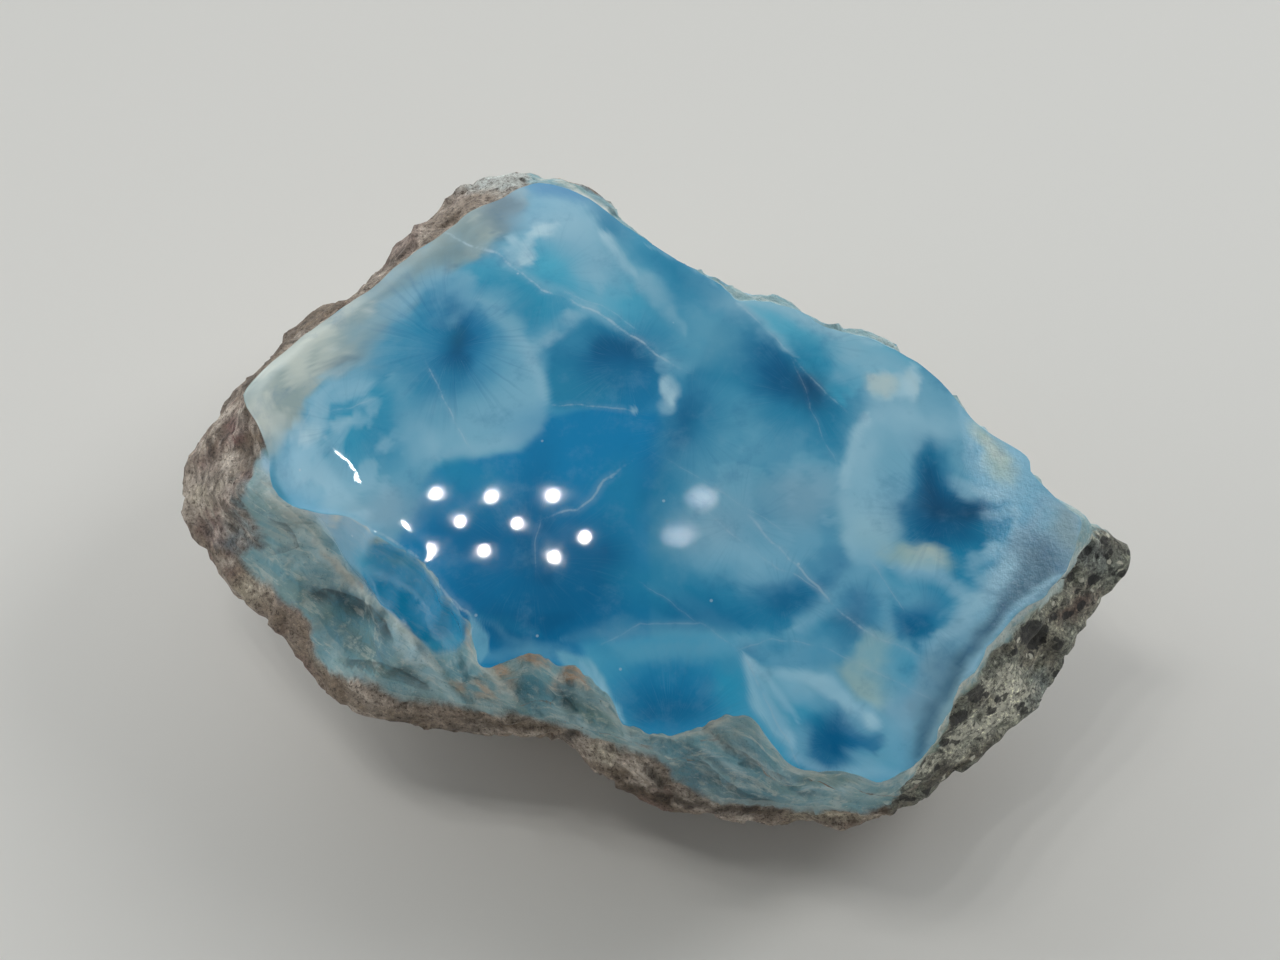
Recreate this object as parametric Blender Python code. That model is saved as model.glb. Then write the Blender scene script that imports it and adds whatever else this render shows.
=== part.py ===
"""Rough larimar: one broken lump of blue pectolite in its basalt rind, with a hand-polished domed face.

The stone is a UV sphere whose rings are laid on named outlines. From the top pole down they are the
polished dome, its rim, the broken shelf under the rim, the girdle, the edge of the foot and the flat foot.
The outlines of the rim, shelf and girdle are drawn as the stone is seen from its display side and laid
down to their heights. Lengths are in millimetres until the mesh is written in metres.
"""

import math

import bmesh
import bpy
import numpy as np
from mathutils import Vector, noise

MM = 0.001

# The display side: the stone is looked down on from the front
SIGHT_ELEVATION = math.radians(58)
SIGHT_DISTANCE = 210.0
SIGHT_TARGET = (-1.0, -0.8, 20.0)

# The polished dome: its crown lies behind the middle, so that the face leans towards the front
CROWN = (1.0, 8.6, 38.0)
DOME_RADIUS_LONG = 150.0
DOME_RADIUS_ACROSS = 95.0
SEED_POINT = (-1.0, -6.4)

# Rings of the sphere, as shares of the way from the top pole to the bottom pole
SEGMENTS = 96
RINGS = 50
RIM_AT, SHELF_AT, GIRDLE_AT, FOOT_AT = 0.40, 0.54, 0.68, 0.88
FOOT_EDGE_HEIGHT = 0.8
FOOT_FLAT_SHARE = 0.93

# Across, up, and how far the polish rolls over the edge there
RIM = [
    (-10.0, 29.7, 0), (-5.5, 28.3, 0), (-1.5, 25.4, 0), (3.5, 22.2, 0), (7.8, 19.6, 0), (9.6, 18.0, 0),
    (12.0, 17.9, 0), (16.3, 16.8, 0), (18.2, 15.4, 0), (23.5, 13.9, 0), (28.0, 11.5, 0), (30.6, 9.3, 0),
    (33.5, 5.8, 0), (38.3, 2.6, 0), (39.2, 0.6, 0), (42.0, -2.3, 0), (44.0, -4.0, 0), (43.6, -6.8, 0),
    (42.2, -9.5, 0), (39.6, -12.0, 0), (37.0, -14.0, 0), (34.8, -16.8, 0), (32.5, -20.0, 0), (30.6, -23.4, 0),
    (29.2, -26.2, 0), (27.2, -28.8, 0), (24.5, -30.2, 0), (21.0, -29.2, 0), (15.5, -28.6, 0), (13.2, -26.2, 0),
    (11.0, -23.4, 0), (8.5, -23.6, 0), (5.5, -24.9, 0), (2.0, -25.2, 0), (-1.3, -24.3, 0), (-3.0, -22.0, 0),
    (-5.6, -19.0, 0), (-8.4, -18.2, 0), (-11.0, -17.2, 0), (-15.3, -18.5, 0), (-16.7, -16.5, 0),
    (-17.1, -14.2, 0), (-18.8, -12.0, 0), (-22.0, -8.0, 0), (-24.2, -6.7, 0.1), (-26.8, -4.8, 0.3),
    (-29.5, -3.2, 0.8), (-32.5, -2.3, 1.6), (-35.3, -1.0, 2.4), (-37.0, 0.8, 2.6), (-37.4, 3.5, 2.0),
    (-38.2, 6.0, 1.2), (-39.7, 8.0, 0.6), (-39.0, 9.8, 0.3), (-34.0, 14.3, 0.1), (-27.5, 18.8, 0.1),
    (-24.5, 21.4, 0.1), (-19.2, 25.0, 0), (-17.0, 26.8, 0), (-14.0, 28.1, 0),
]

# Across, up, and height above the foot
SHELF = [
    (-12.8, 30.6, 32.5), (-9.5, 30.2, 33.5), (-5.0, 28.2, 33.5), (-1.5, 24.8, 33.5), (3.4, 21.7, 33.5),
    (7.8, 19.1, 33.0), (9.6, 17.3, 33.0), (12.2, 17.2, 33.0), (16.3, 16.1, 32.5), (18.2, 14.7, 32.0),
    (23.5, 13.2, 31.5), (28.0, 10.7, 31.0), (33.4, 4.8, 30.0), (38.1, 1.7, 28.5), (38.8, -0.2, 28.0),
    (42.0, -3.0, 27.0), (46.2, -6.2, 25.5), (45.6, -9.0, 24.0), (43.6, -12.6, 22.5), (40.0, -16.8, 21.0),
    (37.6, -21.0, 20.0), (34.0, -25.0, 19.0), (29.6, -29.2, 18.0), (25.0, -31.8, 18.0), (19.0, -31.8, 18.5),
    (13.0, -31.0, 18.0), (6.0, -28.8, 18.0), (0.0, -27.2, 18.5), (-5.0, -25.2, 19.0), (-9.0, -22.8, 21.0),
    (-14.0, -21.4, 22.0), (-18.0, -18.8, 23.5), (-22.0, -16.0, 25.5), (-26.0, -12.0, 26.5), (-29.5, -8.2, 27.0),
    (-33.0, -5.0, 27.5), (-38.0, -3.4, 26.5), (-41.0, -0.5, 26.0), (-41.6, 4.0, 26.5), (-40.9, 7.8, 28.0),
    (-40.0, 10.0, 29.0), (-37.8, 12.2, 29.5), (-31.0, 17.0, 30.5), (-27.3, 19.4, 31.0), (-24.4, 23.4, 31.5),
    (-20.5, 27.2, 32.0), (-17.0, 29.6, 32.0),
]

GIRDLE = [
    (-12.0, 26.0, 16.0), (-4.0, 24.0, 16.0), (3.0, 19.5, 17.0), (9.5, 14.6, 17.0), (16.0, 13.0, 17.0),
    (24.0, 9.6, 17.0), (30.0, 5.0, 17.0), (35.0, 0.6, 17.5), (40.2, -3.6, 18.5), (44.6, -6.4, 20.0),
    (48.4, -7.6, 20.5), (47.4, -10.4, 19.5), (45.0, -13.2, 18.0), (42.6, -16.6, 16.5), (40.8, -20.6, 15.5),
    (37.4, -24.4, 14.0), (31.6, -29.2, 12.5), (26.0, -33.1, 9.5), (20.0, -34.9, 8.0), (14.0, -33.9, 7.5),
    (6.0, -33.0, 8.0), (0.0, -31.9, 8.5), (-4.6, -29.6, 10.0), (-7.4, -26.4, 12.5), (-9.5, -24.8, 15.0),
    (-15.0, -25.2, 15.5), (-20.0, -25.2, 15.5), (-24.8, -23.8, 15.5), (-28.4, -22.4, 15.5), (-32.0, -20.0, 15.5),
    (-35.6, -16.2, 15.5), (-39.0, -12.4, 16.0), (-41.2, -8.6, 16.5), (-43.6, -5.6, 17.5), (-44.4, -1.0, 18.5),
    (-44.0, 3.0, 19.5), (-42.0, 5.8, 20.0), (-39.0, 8.0, 19.0), (-34.0, 11.4, 17.5), (-28.0, 15.0, 16.5),
    (-22.0, 19.4, 16.0), (-17.0, 23.6, 16.0),
]

# The foot's edge in plan, as x and y
FOOT = [
    (30.0, -6.0), (27.0, -14.0), (19.0, -20.5), (9.0, -23.0), (0.0, -20.5), (-9.0, -18.5), (-19.0, -12.5),
    (-27.0, -7.0), (-28.5, 0.5), (-22.0, 6.0), (-14.0, 9.0), (-7.0, 14.0), (4.0, 13.5), (12.0, 9.0),
    (20.5, 7.0), (28.0, 1.5),
]

# Hollows in the broken wall: across, up, height, radius, depth
HOLLOWS = [
    (-29.6, -12.4, 24.0, 4.6, 2.0),
    (-27.5, -15.6, 22.0, 3.6, 1.2),
    (-23.0, -9.6, 29.0, 5.0, 1.0),
    (-20.0, -13.2, 27.5, 4.6, 1.2),
    (-11.5, -20.2, 25.0, 3.4, 0.9),
    (8.5, -26.5, 23.0, 4.5, 0.8),
    (-42.0, 6.5, 24.0, 3.2, 0.9),
]

# The larger gas holes in the basalt at the right end: across, up, height, radius, depth
GAS_HOLES = [
    (39.2, -15.6, 23.0, 2.2, 1.4),
    (33.5, -21.4, 21.5, 1.7, 1.2),
    (44.5, -9.5, 23.0, 1.5, 0.9),
    (41.0, -20.4, 18.0, 1.6, 0.8),
    (36.0, -24.6, 17.0, 1.4, 0.8),
]

# Relief of the unpolished wall: size of the forms, and how far they stand out
LUMPS = (10.0, 1.3)
KNOBS = (3.6, 0.5)
CHIPS = (7.0, 1.3)
LEDGES = (4.6, 0.55)
WORN_BACK = 0.45
ROUGHER_BACK = 1.0
LUMP_SEED = Vector((3.1, 7.7, 1.9))
CHIP_SHIFTS = [Vector((12.3, 4.1, 7.9)), Vector((5.7, 21.4, 2.6)), Vector((8.8, 3.5, 16.2))]

LARIMAR_BLUE = (0.10, 0.42, 0.68, 1.0)


def lay(across, up, height):
    """The plan position of a point seen at across, up from the display side and lying at height."""
    sine, cosine = math.sin(SIGHT_ELEVATION), math.cos(SIGHT_ELEVATION)
    rise = height - SIGHT_TARGET[2]
    away = SIGHT_DISTANCE - rise * sine
    y = (up * away - SIGHT_DISTANCE * rise * cosine) / (SIGHT_DISTANCE * sine - up * cosine)
    x = across * (away + y * cosine) / SIGHT_DISTANCE
    return x + SIGHT_TARGET[0], y + SIGHT_TARGET[1]


def dome(x, y):
    """Height of the polished surface, before its edge rolls over."""
    along = (x - CROWN[0]) ** 2 / (2 * DOME_RADIUS_LONG)
    across = (y - CROWN[1]) ** 2 / (2 * DOME_RADIUS_ACROSS)
    return CROWN[2] - along - across


def closed_curve(points, steps=12):
    """A smooth closed curve through points, as a dense array."""
    p = np.array(points, float)
    before, after, beyond = np.roll(p, 1, 0), np.roll(p, -1, 0), np.roll(p, -2, 0)
    dense = []
    for s in np.linspace(0, 1, steps, endpoint=False):
        dense.append(0.5 * (2 * p + (after - before) * s
                            + (2 * before - 5 * p + 4 * after - beyond) * s ** 2
                            + (3 * p - before - 3 * after + beyond) * s ** 3))
    return np.stack(dense, 1).reshape(-1, p.shape[1])


def by_angle(curve):
    """Turns a closed curve of x, y, ... into a function of the angle about the seed point."""
    x, y = curve[:, 0] - SEED_POINT[0], curve[:, 1] - SEED_POINT[1]
    angle = np.arctan2(y, x)
    order = np.argsort(angle)
    rows = np.column_stack([np.hypot(x, y), curve[:, 2:]])[order]

    def at(theta):
        return [np.interp(theta, angle[order], row, period=2 * math.pi) for row in rows.T]

    return at


def laid_on_dome(outline):
    """The rim: each point slides along its line of sight until it meets the dome."""
    placed = []
    for across, up, roll in outline:
        height = CROWN[2]
        for _ in range(12):
            x, y = lay(across, up, height)
            height = dome(x, y)
        placed.append((x, y, roll))
    return placed


def laid_at_height(outline):
    return [(*lay(across, up, height), height) for across, up, height in outline]


rim_at = by_angle(closed_curve(laid_on_dome(RIM)))
shelf_at = by_angle(closed_curve(laid_at_height(SHELF)))
girdle_at = by_angle(closed_curve(laid_at_height(GIRDLE)))
foot_at = by_angle(closed_curve([(x, y) for x, y in FOOT]))


def face_height(x, y, inside, roll):
    """The polished surface at a distance inside the rim, with its edge rolled over."""
    width = 0.8 + 1.2 * roll
    return dome(x, y) - roll * np.exp(-((inside / width) ** 2))


def smooth_form(theta, t):
    """The stone without its relief: angle about the seed point and way down from the top pole."""
    rim, roll = rim_at(theta)
    shelf, shelf_height = shelf_at(theta)
    girdle, girdle_height = girdle_at(theta)
    (foot,) = foot_at(theta)
    cosine, sine = np.cos(theta), np.sin(theta)

    rim_x, rim_y = SEED_POINT[0] + rim * cosine, SEED_POINT[1] + rim * sine
    rim_height = face_height(rim_x, rim_y, 0.0, roll)
    flat = foot * FOOT_FLAT_SHARE
    radii = [2 * rim - shelf, rim, shelf, girdle, foot, flat]
    heights = [2 * rim_height - shelf_height, rim_height, shelf_height, girdle_height,
               np.full_like(foot, FOOT_EDGE_HEIGHT), np.zeros_like(foot)]
    stops = [RIM_AT, SHELF_AT, GIRDLE_AT, FOOT_AT]

    face_share = np.clip(t / RIM_AT, 0, 1)
    radius = rim * face_share ** 0.9
    x, y = SEED_POINT[0] + radius * cosine, SEED_POINT[1] + radius * sine
    height = face_height(x, y, rim - radius, roll)
    for i in range(3):
        s = np.clip((t - stops[i]) / (stops[i + 1] - stops[i]), 0, 1)
        here = t > stops[i]
        radius = np.where(here, through(radii[i:i + 4], s), radius)
        height = np.where(here, through(heights[i:i + 4], s), height)
    s = np.clip((t - FOOT_AT) / (1 - FOOT_AT), 0, 1)
    here = t > FOOT_AT
    radius = np.where(here, foot * (1 - s), radius)
    edge = np.clip((radius / foot - FOOT_FLAT_SHARE) / (1 - FOOT_FLAT_SHARE), 0, 1)
    height = np.where(here, FOOT_EDGE_HEIGHT * edge ** 1.5, height)
    return np.stack([SEED_POINT[0] + radius * cosine, SEED_POINT[1] + radius * sine, height], -1)


def through(points, s):
    """A smooth step from the second point to the third, with the first and last giving the slopes."""
    a, b, c, d = points
    tension = 0.35
    return (b + s * tension * (c - a)
            + s ** 2 * (3 * (c - b) - tension * (2 * (c - a) + (d - b)))
            + s ** 3 * (2 * (b - c) + tension * ((c - a) + (d - b))))


def outward(theta, t):
    """Unit normals of the smooth form."""
    step = 0.004
    around = smooth_form(theta + step, t) - smooth_form(theta - step, t)
    down = smooth_form(theta, np.clip(t + step, 0, 1)) - smooth_form(theta, np.clip(t - step, 0, 1))
    normal = np.cross(down, around)
    return normal / np.maximum(np.linalg.norm(normal, axis=-1, keepdims=True), 1e-9)


def dents(points, spots):
    """How deep the listed hollows are at each point."""
    deep = np.zeros(len(points))
    for across, up, height, radius, depth in spots:
        centre = np.array([*lay(across, up, height), height])
        far = np.linalg.norm(points - centre, axis=1) / radius
        deep += depth * np.clip(1 - far ** 2, 0, 1) ** 1.5
    return deep


def chips(point):
    """Shell-shaped breaks: shallow bowls that meet in ridges."""
    size, depth = CHIPS
    warp = 0.35 * Vector([noise.noise(point / size + shift) for shift in CHIP_SHIFTS])
    distances, _ = noise.voronoi(point / size + warp)
    return depth * (min(distances[0], 0.8) ** 2 - 0.35)


def ledges(point):
    """Steps that run round the stone, each a slow slope and a short drop."""
    spacing, depth = LEDGES
    level = point.z / spacing + 0.9 * noise.noise(point / 14.0 + LUMP_SEED)
    share = level - math.floor(level)
    drop = min(share / 0.25, 1.0)
    return depth * (drop * drop * (3 - 2 * drop) - share)


def wall_relief(points):
    """How far the unpolished wall stands out of the smooth form."""
    relief = np.empty(len(points))
    for i, co in enumerate(points):
        point = Vector(co)
        lumps = LUMPS[1] * noise.noise(point / LUMPS[0] + LUMP_SEED)
        knobs = KNOBS[1] * noise.noise(point / KNOBS[0] - LUMP_SEED)
        relief[i] = lumps + knobs + chips(point) + ledges(point) - WORN_BACK
    return relief - dents(points, HOLLOWS + GAS_HOLES)


def back_strength(points):
    """The relief grows on the low back and the underside, which the saw and the polish never met."""
    low = np.clip((26.0 - points[:, 2]) / 10.0, 0, 1)
    behind = np.clip(points[:, 1] / 12.0, 0, 1)
    return 1.0 + ROUGHER_BACK * low * behind


def stone_points(theta, t):
    """The finished surface: the smooth form, with relief from the rim down to the foot."""
    points = smooth_form(theta, t)
    wall = (t > RIM_AT + 1e-4) & (t < 1)
    fade_in = np.clip((t[wall] - RIM_AT) / (0.35 * (SHELF_AT - RIM_AT)), 0, 1)
    fade_out = np.clip((FOOT_AT - t[wall]) / (0.2 * (FOOT_AT - GIRDLE_AT)), 0, 1)
    relief = wall_relief(points[wall]) * fade_in * fade_out * back_strength(points[wall])
    points[wall] += outward(theta[wall], t[wall]) * relief[:, None]
    points[wall, 2] = np.maximum(points[wall, 2], np.where(t[wall] < FOOT_AT, FOOT_EDGE_HEIGHT, 0.0))
    return points


def clear_scene():
    for old in list(bpy.data.objects):
        bpy.data.objects.remove(old, do_unlink=True)


def stone_material():
    material = bpy.data.materials.new("larimar")
    material.use_nodes = True
    surface = material.node_tree.nodes["Principled BSDF"]
    surface.inputs["Base Color"].default_value = LARIMAR_BLUE
    surface.inputs["Roughness"].default_value = 0.25
    surface.inputs["Metallic"].default_value = 0.0
    return material


def make_stone():
    mesh = bpy.data.meshes.new("larimar_stone")
    ball = bmesh.new()
    bmesh.ops.create_uvsphere(ball, u_segments=SEGMENTS, v_segments=RINGS, radius=1.0)
    directions = np.array([vert.co for vert in ball.verts])
    theta = np.arctan2(directions[:, 1], directions[:, 0])
    t = np.arccos(np.clip(directions[:, 2], -1, 1)) / math.pi
    t = np.round(t * RINGS) / RINGS
    for vert, co in zip(ball.verts, stone_points(theta, t)):
        vert.co = Vector(co) * MM
    bmesh.ops.recalc_face_normals(ball, faces=ball.faces)
    ball.to_mesh(mesh)
    ball.free()
    mesh.shade_smooth()
    mesh.set_sharp_from_angle(angle=math.radians(35))
    stone = bpy.data.objects.new("larimar_stone", mesh)
    stone.data.materials.append(stone_material())
    return stone


def main():
    clear_scene()
    parts = bpy.data.collections.new("rough_larimar")
    bpy.context.scene.collection.children.link(parts)
    parts.objects.link(make_stone())


main()
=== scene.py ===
"""Looks of the rough larimar: the same stone as the solid, at a finer grain, painted and lit.

Shapes are in millimetres until they are written as a mesh. Places on the stone's display side are given as
the photograph's 1280 x 960 pixels, which seen() works out for any point of the stone.
"""

import math

import bmesh
import bpy
import numpy as np
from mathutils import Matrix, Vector, noise


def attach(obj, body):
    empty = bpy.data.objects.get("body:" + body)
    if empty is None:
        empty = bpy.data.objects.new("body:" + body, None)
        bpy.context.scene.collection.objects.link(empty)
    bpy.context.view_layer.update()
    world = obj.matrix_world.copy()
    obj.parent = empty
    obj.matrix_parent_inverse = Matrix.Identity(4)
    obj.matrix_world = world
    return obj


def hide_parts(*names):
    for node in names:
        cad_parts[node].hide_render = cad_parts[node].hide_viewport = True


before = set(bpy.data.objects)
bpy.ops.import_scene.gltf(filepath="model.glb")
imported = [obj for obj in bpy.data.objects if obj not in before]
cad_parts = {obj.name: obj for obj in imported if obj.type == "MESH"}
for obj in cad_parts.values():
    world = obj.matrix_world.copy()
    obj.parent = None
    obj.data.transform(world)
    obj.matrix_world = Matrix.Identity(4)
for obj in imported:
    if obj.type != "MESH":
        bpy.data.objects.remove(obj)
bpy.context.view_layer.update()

MM = 0.001

# The display side, as the solid's own script has it
SIGHT_ELEVATION = math.radians(58)
SIGHT_DISTANCE = 210.0
SIGHT_TARGET = (-1.0, -0.8, 20.0)
PIXELS_PER_MM = 10.0
PHOTO_MIDDLE = (640, 480)
PHOTO_WIDTH = 1280

CROWN = (1.0, 8.6, 38.0)
DOME_RADIUS_LONG = 150.0
DOME_RADIUS_ACROSS = 95.0
SEED_POINT = (-1.0, -6.4)

SEGMENTS = 496
RINGS = 200
# The points lie closer together on the front, about this angle
CLOSEST_AT = math.radians(-75)
CLOSER_POINTS = 0.38
RIM_AT, SHELF_AT, GIRDLE_AT, FOOT_AT = 0.44, 0.60, 0.76, 0.93
FOOT_EDGE_HEIGHT = 0.8
FOOT_FLAT_SHARE = 0.93

# Across, up, and how far the polish rolls over the edge there
RIM = [
    (-10.0, 29.7, 0), (-5.5, 28.3, 0), (-1.5, 25.4, 0), (3.5, 22.2, 0), (7.8, 19.6, 0), (9.6, 18.0, 0),
    (12.0, 17.9, 0), (16.3, 16.8, 0), (18.2, 15.4, 0), (23.5, 13.9, 0), (28.0, 11.5, 0), (30.6, 9.3, 0),
    (33.5, 5.8, 0), (38.3, 2.6, 0), (39.2, 0.6, 0), (42.0, -2.3, 0), (44.0, -4.0, 0), (43.6, -6.8, 0),
    (42.2, -9.5, 0), (39.6, -12.0, 0), (37.0, -14.0, 0), (34.8, -16.8, 0), (32.5, -20.0, 0),
    (30.6, -23.4, 0), (29.2, -26.2, 0), (27.2, -28.8, 0), (24.5, -30.2, 0), (21.0, -29.2, 0),
    (15.5, -28.6, 0), (13.2, -26.2, 0), (11.0, -23.4, 0), (8.5, -23.6, 0), (5.5, -24.9, 0), (2.0, -25.2, 0),
    (-1.3, -24.3, 0), (-3.0, -22.0, 0), (-5.6, -19.0, 0), (-8.4, -18.2, 0), (-11.0, -17.2, 0),
    (-15.3, -18.5, 0), (-16.7, -16.5, 0), (-17.1, -14.2, 0), (-18.8, -12.0, 0), (-22.0, -8.0, 0),
    (-24.2, -6.7, 0.1), (-26.8, -4.8, 0.3), (-29.5, -3.2, 0.8), (-32.5, -2.3, 1.6), (-35.3, -1.0, 2.4),
    (-37.0, 0.8, 2.6), (-37.4, 3.5, 2.0), (-38.2, 6.0, 1.2), (-39.7, 8.0, 0.6), (-39.0, 9.8, 0.3),
    (-34.0, 14.3, 0.1), (-27.5, 18.8, 0.1), (-24.5, 21.4, 0.1), (-19.2, 25.0, 0), (-17.0, 26.8, 0),
    (-14.0, 28.1, 0),
]

# Across, up, and height above the foot
SHELF = [
    (-12.8, 30.6, 32.5), (-9.5, 30.2, 33.5), (-5.0, 28.2, 33.5), (-1.5, 24.8, 33.5), (3.4, 21.7, 33.5),
    (7.8, 19.1, 33.0), (9.6, 17.3, 33.0), (12.2, 17.2, 33.0), (16.3, 16.1, 32.5), (18.2, 14.7, 32.0),
    (23.5, 13.2, 31.5), (28.0, 10.7, 31.0), (33.4, 4.8, 30.0), (38.1, 1.7, 28.5), (38.8, -0.2, 28.0),
    (42.0, -3.0, 27.0), (46.2, -6.2, 25.5), (45.6, -9.0, 24.0), (43.6, -12.6, 22.5), (40.0, -16.8, 21.0),
    (37.6, -21.0, 20.0), (34.0, -25.0, 19.0), (29.6, -29.2, 18.0), (25.0, -31.8, 18.0), (19.0, -31.8, 18.5),
    (13.0, -31.0, 18.0), (6.0, -28.8, 18.0), (0.0, -27.2, 18.5), (-5.0, -25.2, 19.0), (-9.0, -22.8, 21.0),
    (-14.0, -21.4, 22.0), (-18.0, -18.8, 23.5), (-22.0, -16.0, 25.5), (-26.0, -12.0, 26.5),
    (-29.5, -8.2, 27.0), (-33.0, -5.0, 27.5), (-38.0, -3.4, 26.5), (-41.0, -0.5, 26.0), (-41.6, 4.0, 26.5),
    (-40.9, 7.8, 28.0), (-40.0, 10.0, 29.0), (-37.8, 12.2, 29.5), (-31.0, 17.0, 30.5), (-27.3, 19.4, 31.0),
    (-24.4, 23.4, 31.5), (-20.5, 27.2, 32.0), (-17.0, 29.6, 32.0),
]

GIRDLE = [
    (-12.0, 26.0, 16.0), (-4.0, 24.0, 16.0), (3.0, 19.5, 17.0), (9.5, 14.6, 17.0), (16.0, 13.0, 17.0),
    (24.0, 9.6, 17.0), (30.0, 5.0, 17.0), (35.0, 0.6, 17.5), (40.2, -3.6, 18.5), (44.6, -6.4, 20.0),
    (48.4, -7.6, 20.5), (47.4, -10.4, 19.5), (45.0, -13.2, 18.0), (42.6, -16.6, 16.5), (40.8, -20.6, 15.5),
    (37.4, -24.4, 14.0), (31.6, -29.2, 12.5), (26.0, -33.1, 9.5), (20.0, -34.9, 8.0), (14.0, -33.9, 7.5),
    (6.0, -33.0, 8.0), (0.0, -31.9, 8.5), (-4.6, -29.6, 10.0), (-7.4, -26.4, 12.5), (-9.5, -24.8, 15.0),
    (-15.0, -25.2, 15.5), (-20.0, -25.2, 15.5), (-24.8, -23.8, 15.5), (-28.4, -22.4, 15.5),
    (-32.0, -20.0, 15.5), (-35.6, -16.2, 15.5), (-39.0, -12.4, 16.0), (-41.2, -8.6, 16.5),
    (-43.6, -5.6, 17.5), (-44.4, -1.0, 18.5), (-44.0, 3.0, 19.5), (-42.0, 5.8, 20.0), (-39.0, 8.0, 19.0),
    (-34.0, 11.4, 17.5), (-28.0, 15.0, 16.5), (-22.0, 19.4, 16.0), (-17.0, 23.6, 16.0),
]

# The foot's edge in plan, as x and y
FOOT = [
    (30.0, -6.0), (27.0, -14.0), (19.0, -20.5), (9.0, -23.0), (0.0, -20.5), (-9.0, -18.5), (-19.0, -12.5),
    (-27.0, -7.0), (-28.5, 0.5), (-22.0, 6.0), (-14.0, 9.0), (-7.0, 14.0), (4.0, 13.5), (12.0, 9.0),
    (20.5, 7.0), (28.0, 1.5),
]

# Hollows in the broken wall: across, up, height, radius, depth
HOLLOWS = [
    (-29.6, -12.4, 24.0, 4.6, 2.0),
    (-27.5, -15.6, 22.0, 3.6, 1.2),
    (-23.0, -9.6, 29.0, 5.0, 1.0),
    (-20.0, -13.2, 27.5, 4.6, 1.2),
    (-11.5, -20.2, 25.0, 3.4, 0.9),
    (8.5, -26.5, 23.0, 4.5, 0.8),
    (-42.0, 6.5, 24.0, 3.2, 0.9),
]

# The larger gas holes in the basalt at the right end: across, up, height, radius, depth
GAS_HOLES = [
    (39.2, -15.6, 23.0, 2.2, 1.4),
    (33.5, -21.4, 21.5, 1.7, 1.2),
    (44.5, -9.5, 23.0, 1.5, 0.9),
    (41.0, -20.4, 18.0, 1.6, 0.8),
    (36.0, -24.6, 17.0, 1.4, 0.8),
]

# Relief of the unpolished wall: size of the forms, and how far they stand out
LUMPS = (10.0, 1.3)
KNOBS = (3.6, 0.5)
CHIPS = (7.0, 1.3)
LEDGES = (4.6, 0.55)
WORN_BACK = 0.45
ROUGHER_BACK = 1.0
LUMP_SEED = Vector((3.1, 7.7, 1.9))
CHIP_SHIFTS = [Vector((12.3, 4.1, 7.9)), Vector((5.7, 21.4, 2.6)), Vector((8.8, 3.5, 16.2))]
# How far the chipped rim strays from its outline, on the broken front and elsewhere
RIM_CHIPS = (0.34, 0.14)

# Ridges and steps of the broken front, in the photo's pixels: the line, how far the stone stands out at it,
# and how far that reaches below and above the line
CRESTS = [
    ([(262, 490), (296, 508), (330, 552), (354, 582), (389, 611), (421, 642), (448, 676)], 1.1, 42, 16),
    ([(372, 536), (400, 546), (428, 566), (448, 592), (466, 614), (472, 636), (488, 660)], 0.5, 5, 10),
    ([(300, 664), (340, 676), (385, 690), (430, 704), (500, 710), (560, 718)], 0.7, 26, 8),
    ([(566, 700), (596, 722), (640, 738)], 0.5, 14, 6),
]
STEPS = [
    ([(318, 588), (345, 592), (372, 604), (396, 632)], 1.0, 24),
    ([(342, 656), (380, 660), (405, 668), (430, 690)], 0.7, 14),
    ([(470, 650), (494, 672), (517, 696), (540, 706)], 0.5, 12),
    ([(700, 726), (725, 744), (752, 762), (790, 780), (830, 790)], 0.7, 20),
    ([(678, 741), (700, 760), (730, 784), (770, 800)], 0.8, 20),
    ([(560, 690), (575, 706), (600, 716)], 0.5, 12),
    ([(600, 748), (640, 764), (680, 786), (730, 800)], 0.7, 18),
    ([(228, 560), (262, 600), (300, 640), (330, 676)], 0.6, 14),
]


def lay(across, up, height):
    """The plan position of a point seen at across, up from the display side and lying at height."""
    sine, cosine = math.sin(SIGHT_ELEVATION), math.cos(SIGHT_ELEVATION)
    rise = height - SIGHT_TARGET[2]
    away = SIGHT_DISTANCE - rise * sine
    y = (up * away - SIGHT_DISTANCE * rise * cosine) / (SIGHT_DISTANCE * sine - up * cosine)
    x = across * (away + y * cosine) / SIGHT_DISTANCE
    return x + SIGHT_TARGET[0], y + SIGHT_TARGET[1]


def in_photo(across, up):
    return PHOTO_MIDDLE[0] + PIXELS_PER_MM * across, PHOTO_MIDDLE[1] - PIXELS_PER_MM * up


def seen(points):
    """Where points of the stone lie in the photograph, in its pixels."""
    sine, cosine = math.sin(SIGHT_ELEVATION), math.cos(SIGHT_ELEVATION)
    x, y, z = (points - np.array(SIGHT_TARGET)).T
    away = SIGHT_DISTANCE + y * cosine - z * sine
    across = SIGHT_DISTANCE * x / away
    up = SIGHT_DISTANCE * (y * sine + z * cosine) / away
    return np.column_stack(in_photo(across, up))


def dome(x, y):
    """Height of the polished surface, before its edge rolls over."""
    along = (x - CROWN[0]) ** 2 / (2 * DOME_RADIUS_LONG)
    across = (y - CROWN[1]) ** 2 / (2 * DOME_RADIUS_ACROSS)
    return CROWN[2] - along - across


def closed_curve(points, steps=12):
    """A smooth closed curve through points, as a dense array."""
    p = np.array(points, float)
    before, after, beyond = np.roll(p, 1, 0), np.roll(p, -1, 0), np.roll(p, -2, 0)
    dense = []
    for s in np.linspace(0, 1, steps, endpoint=False):
        dense.append(0.5 * (2 * p + (after - before) * s
                            + (2 * before - 5 * p + 4 * after - beyond) * s ** 2
                            + (3 * p - before - 3 * after + beyond) * s ** 3))
    return np.stack(dense, 1).reshape(-1, p.shape[1])


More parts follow.
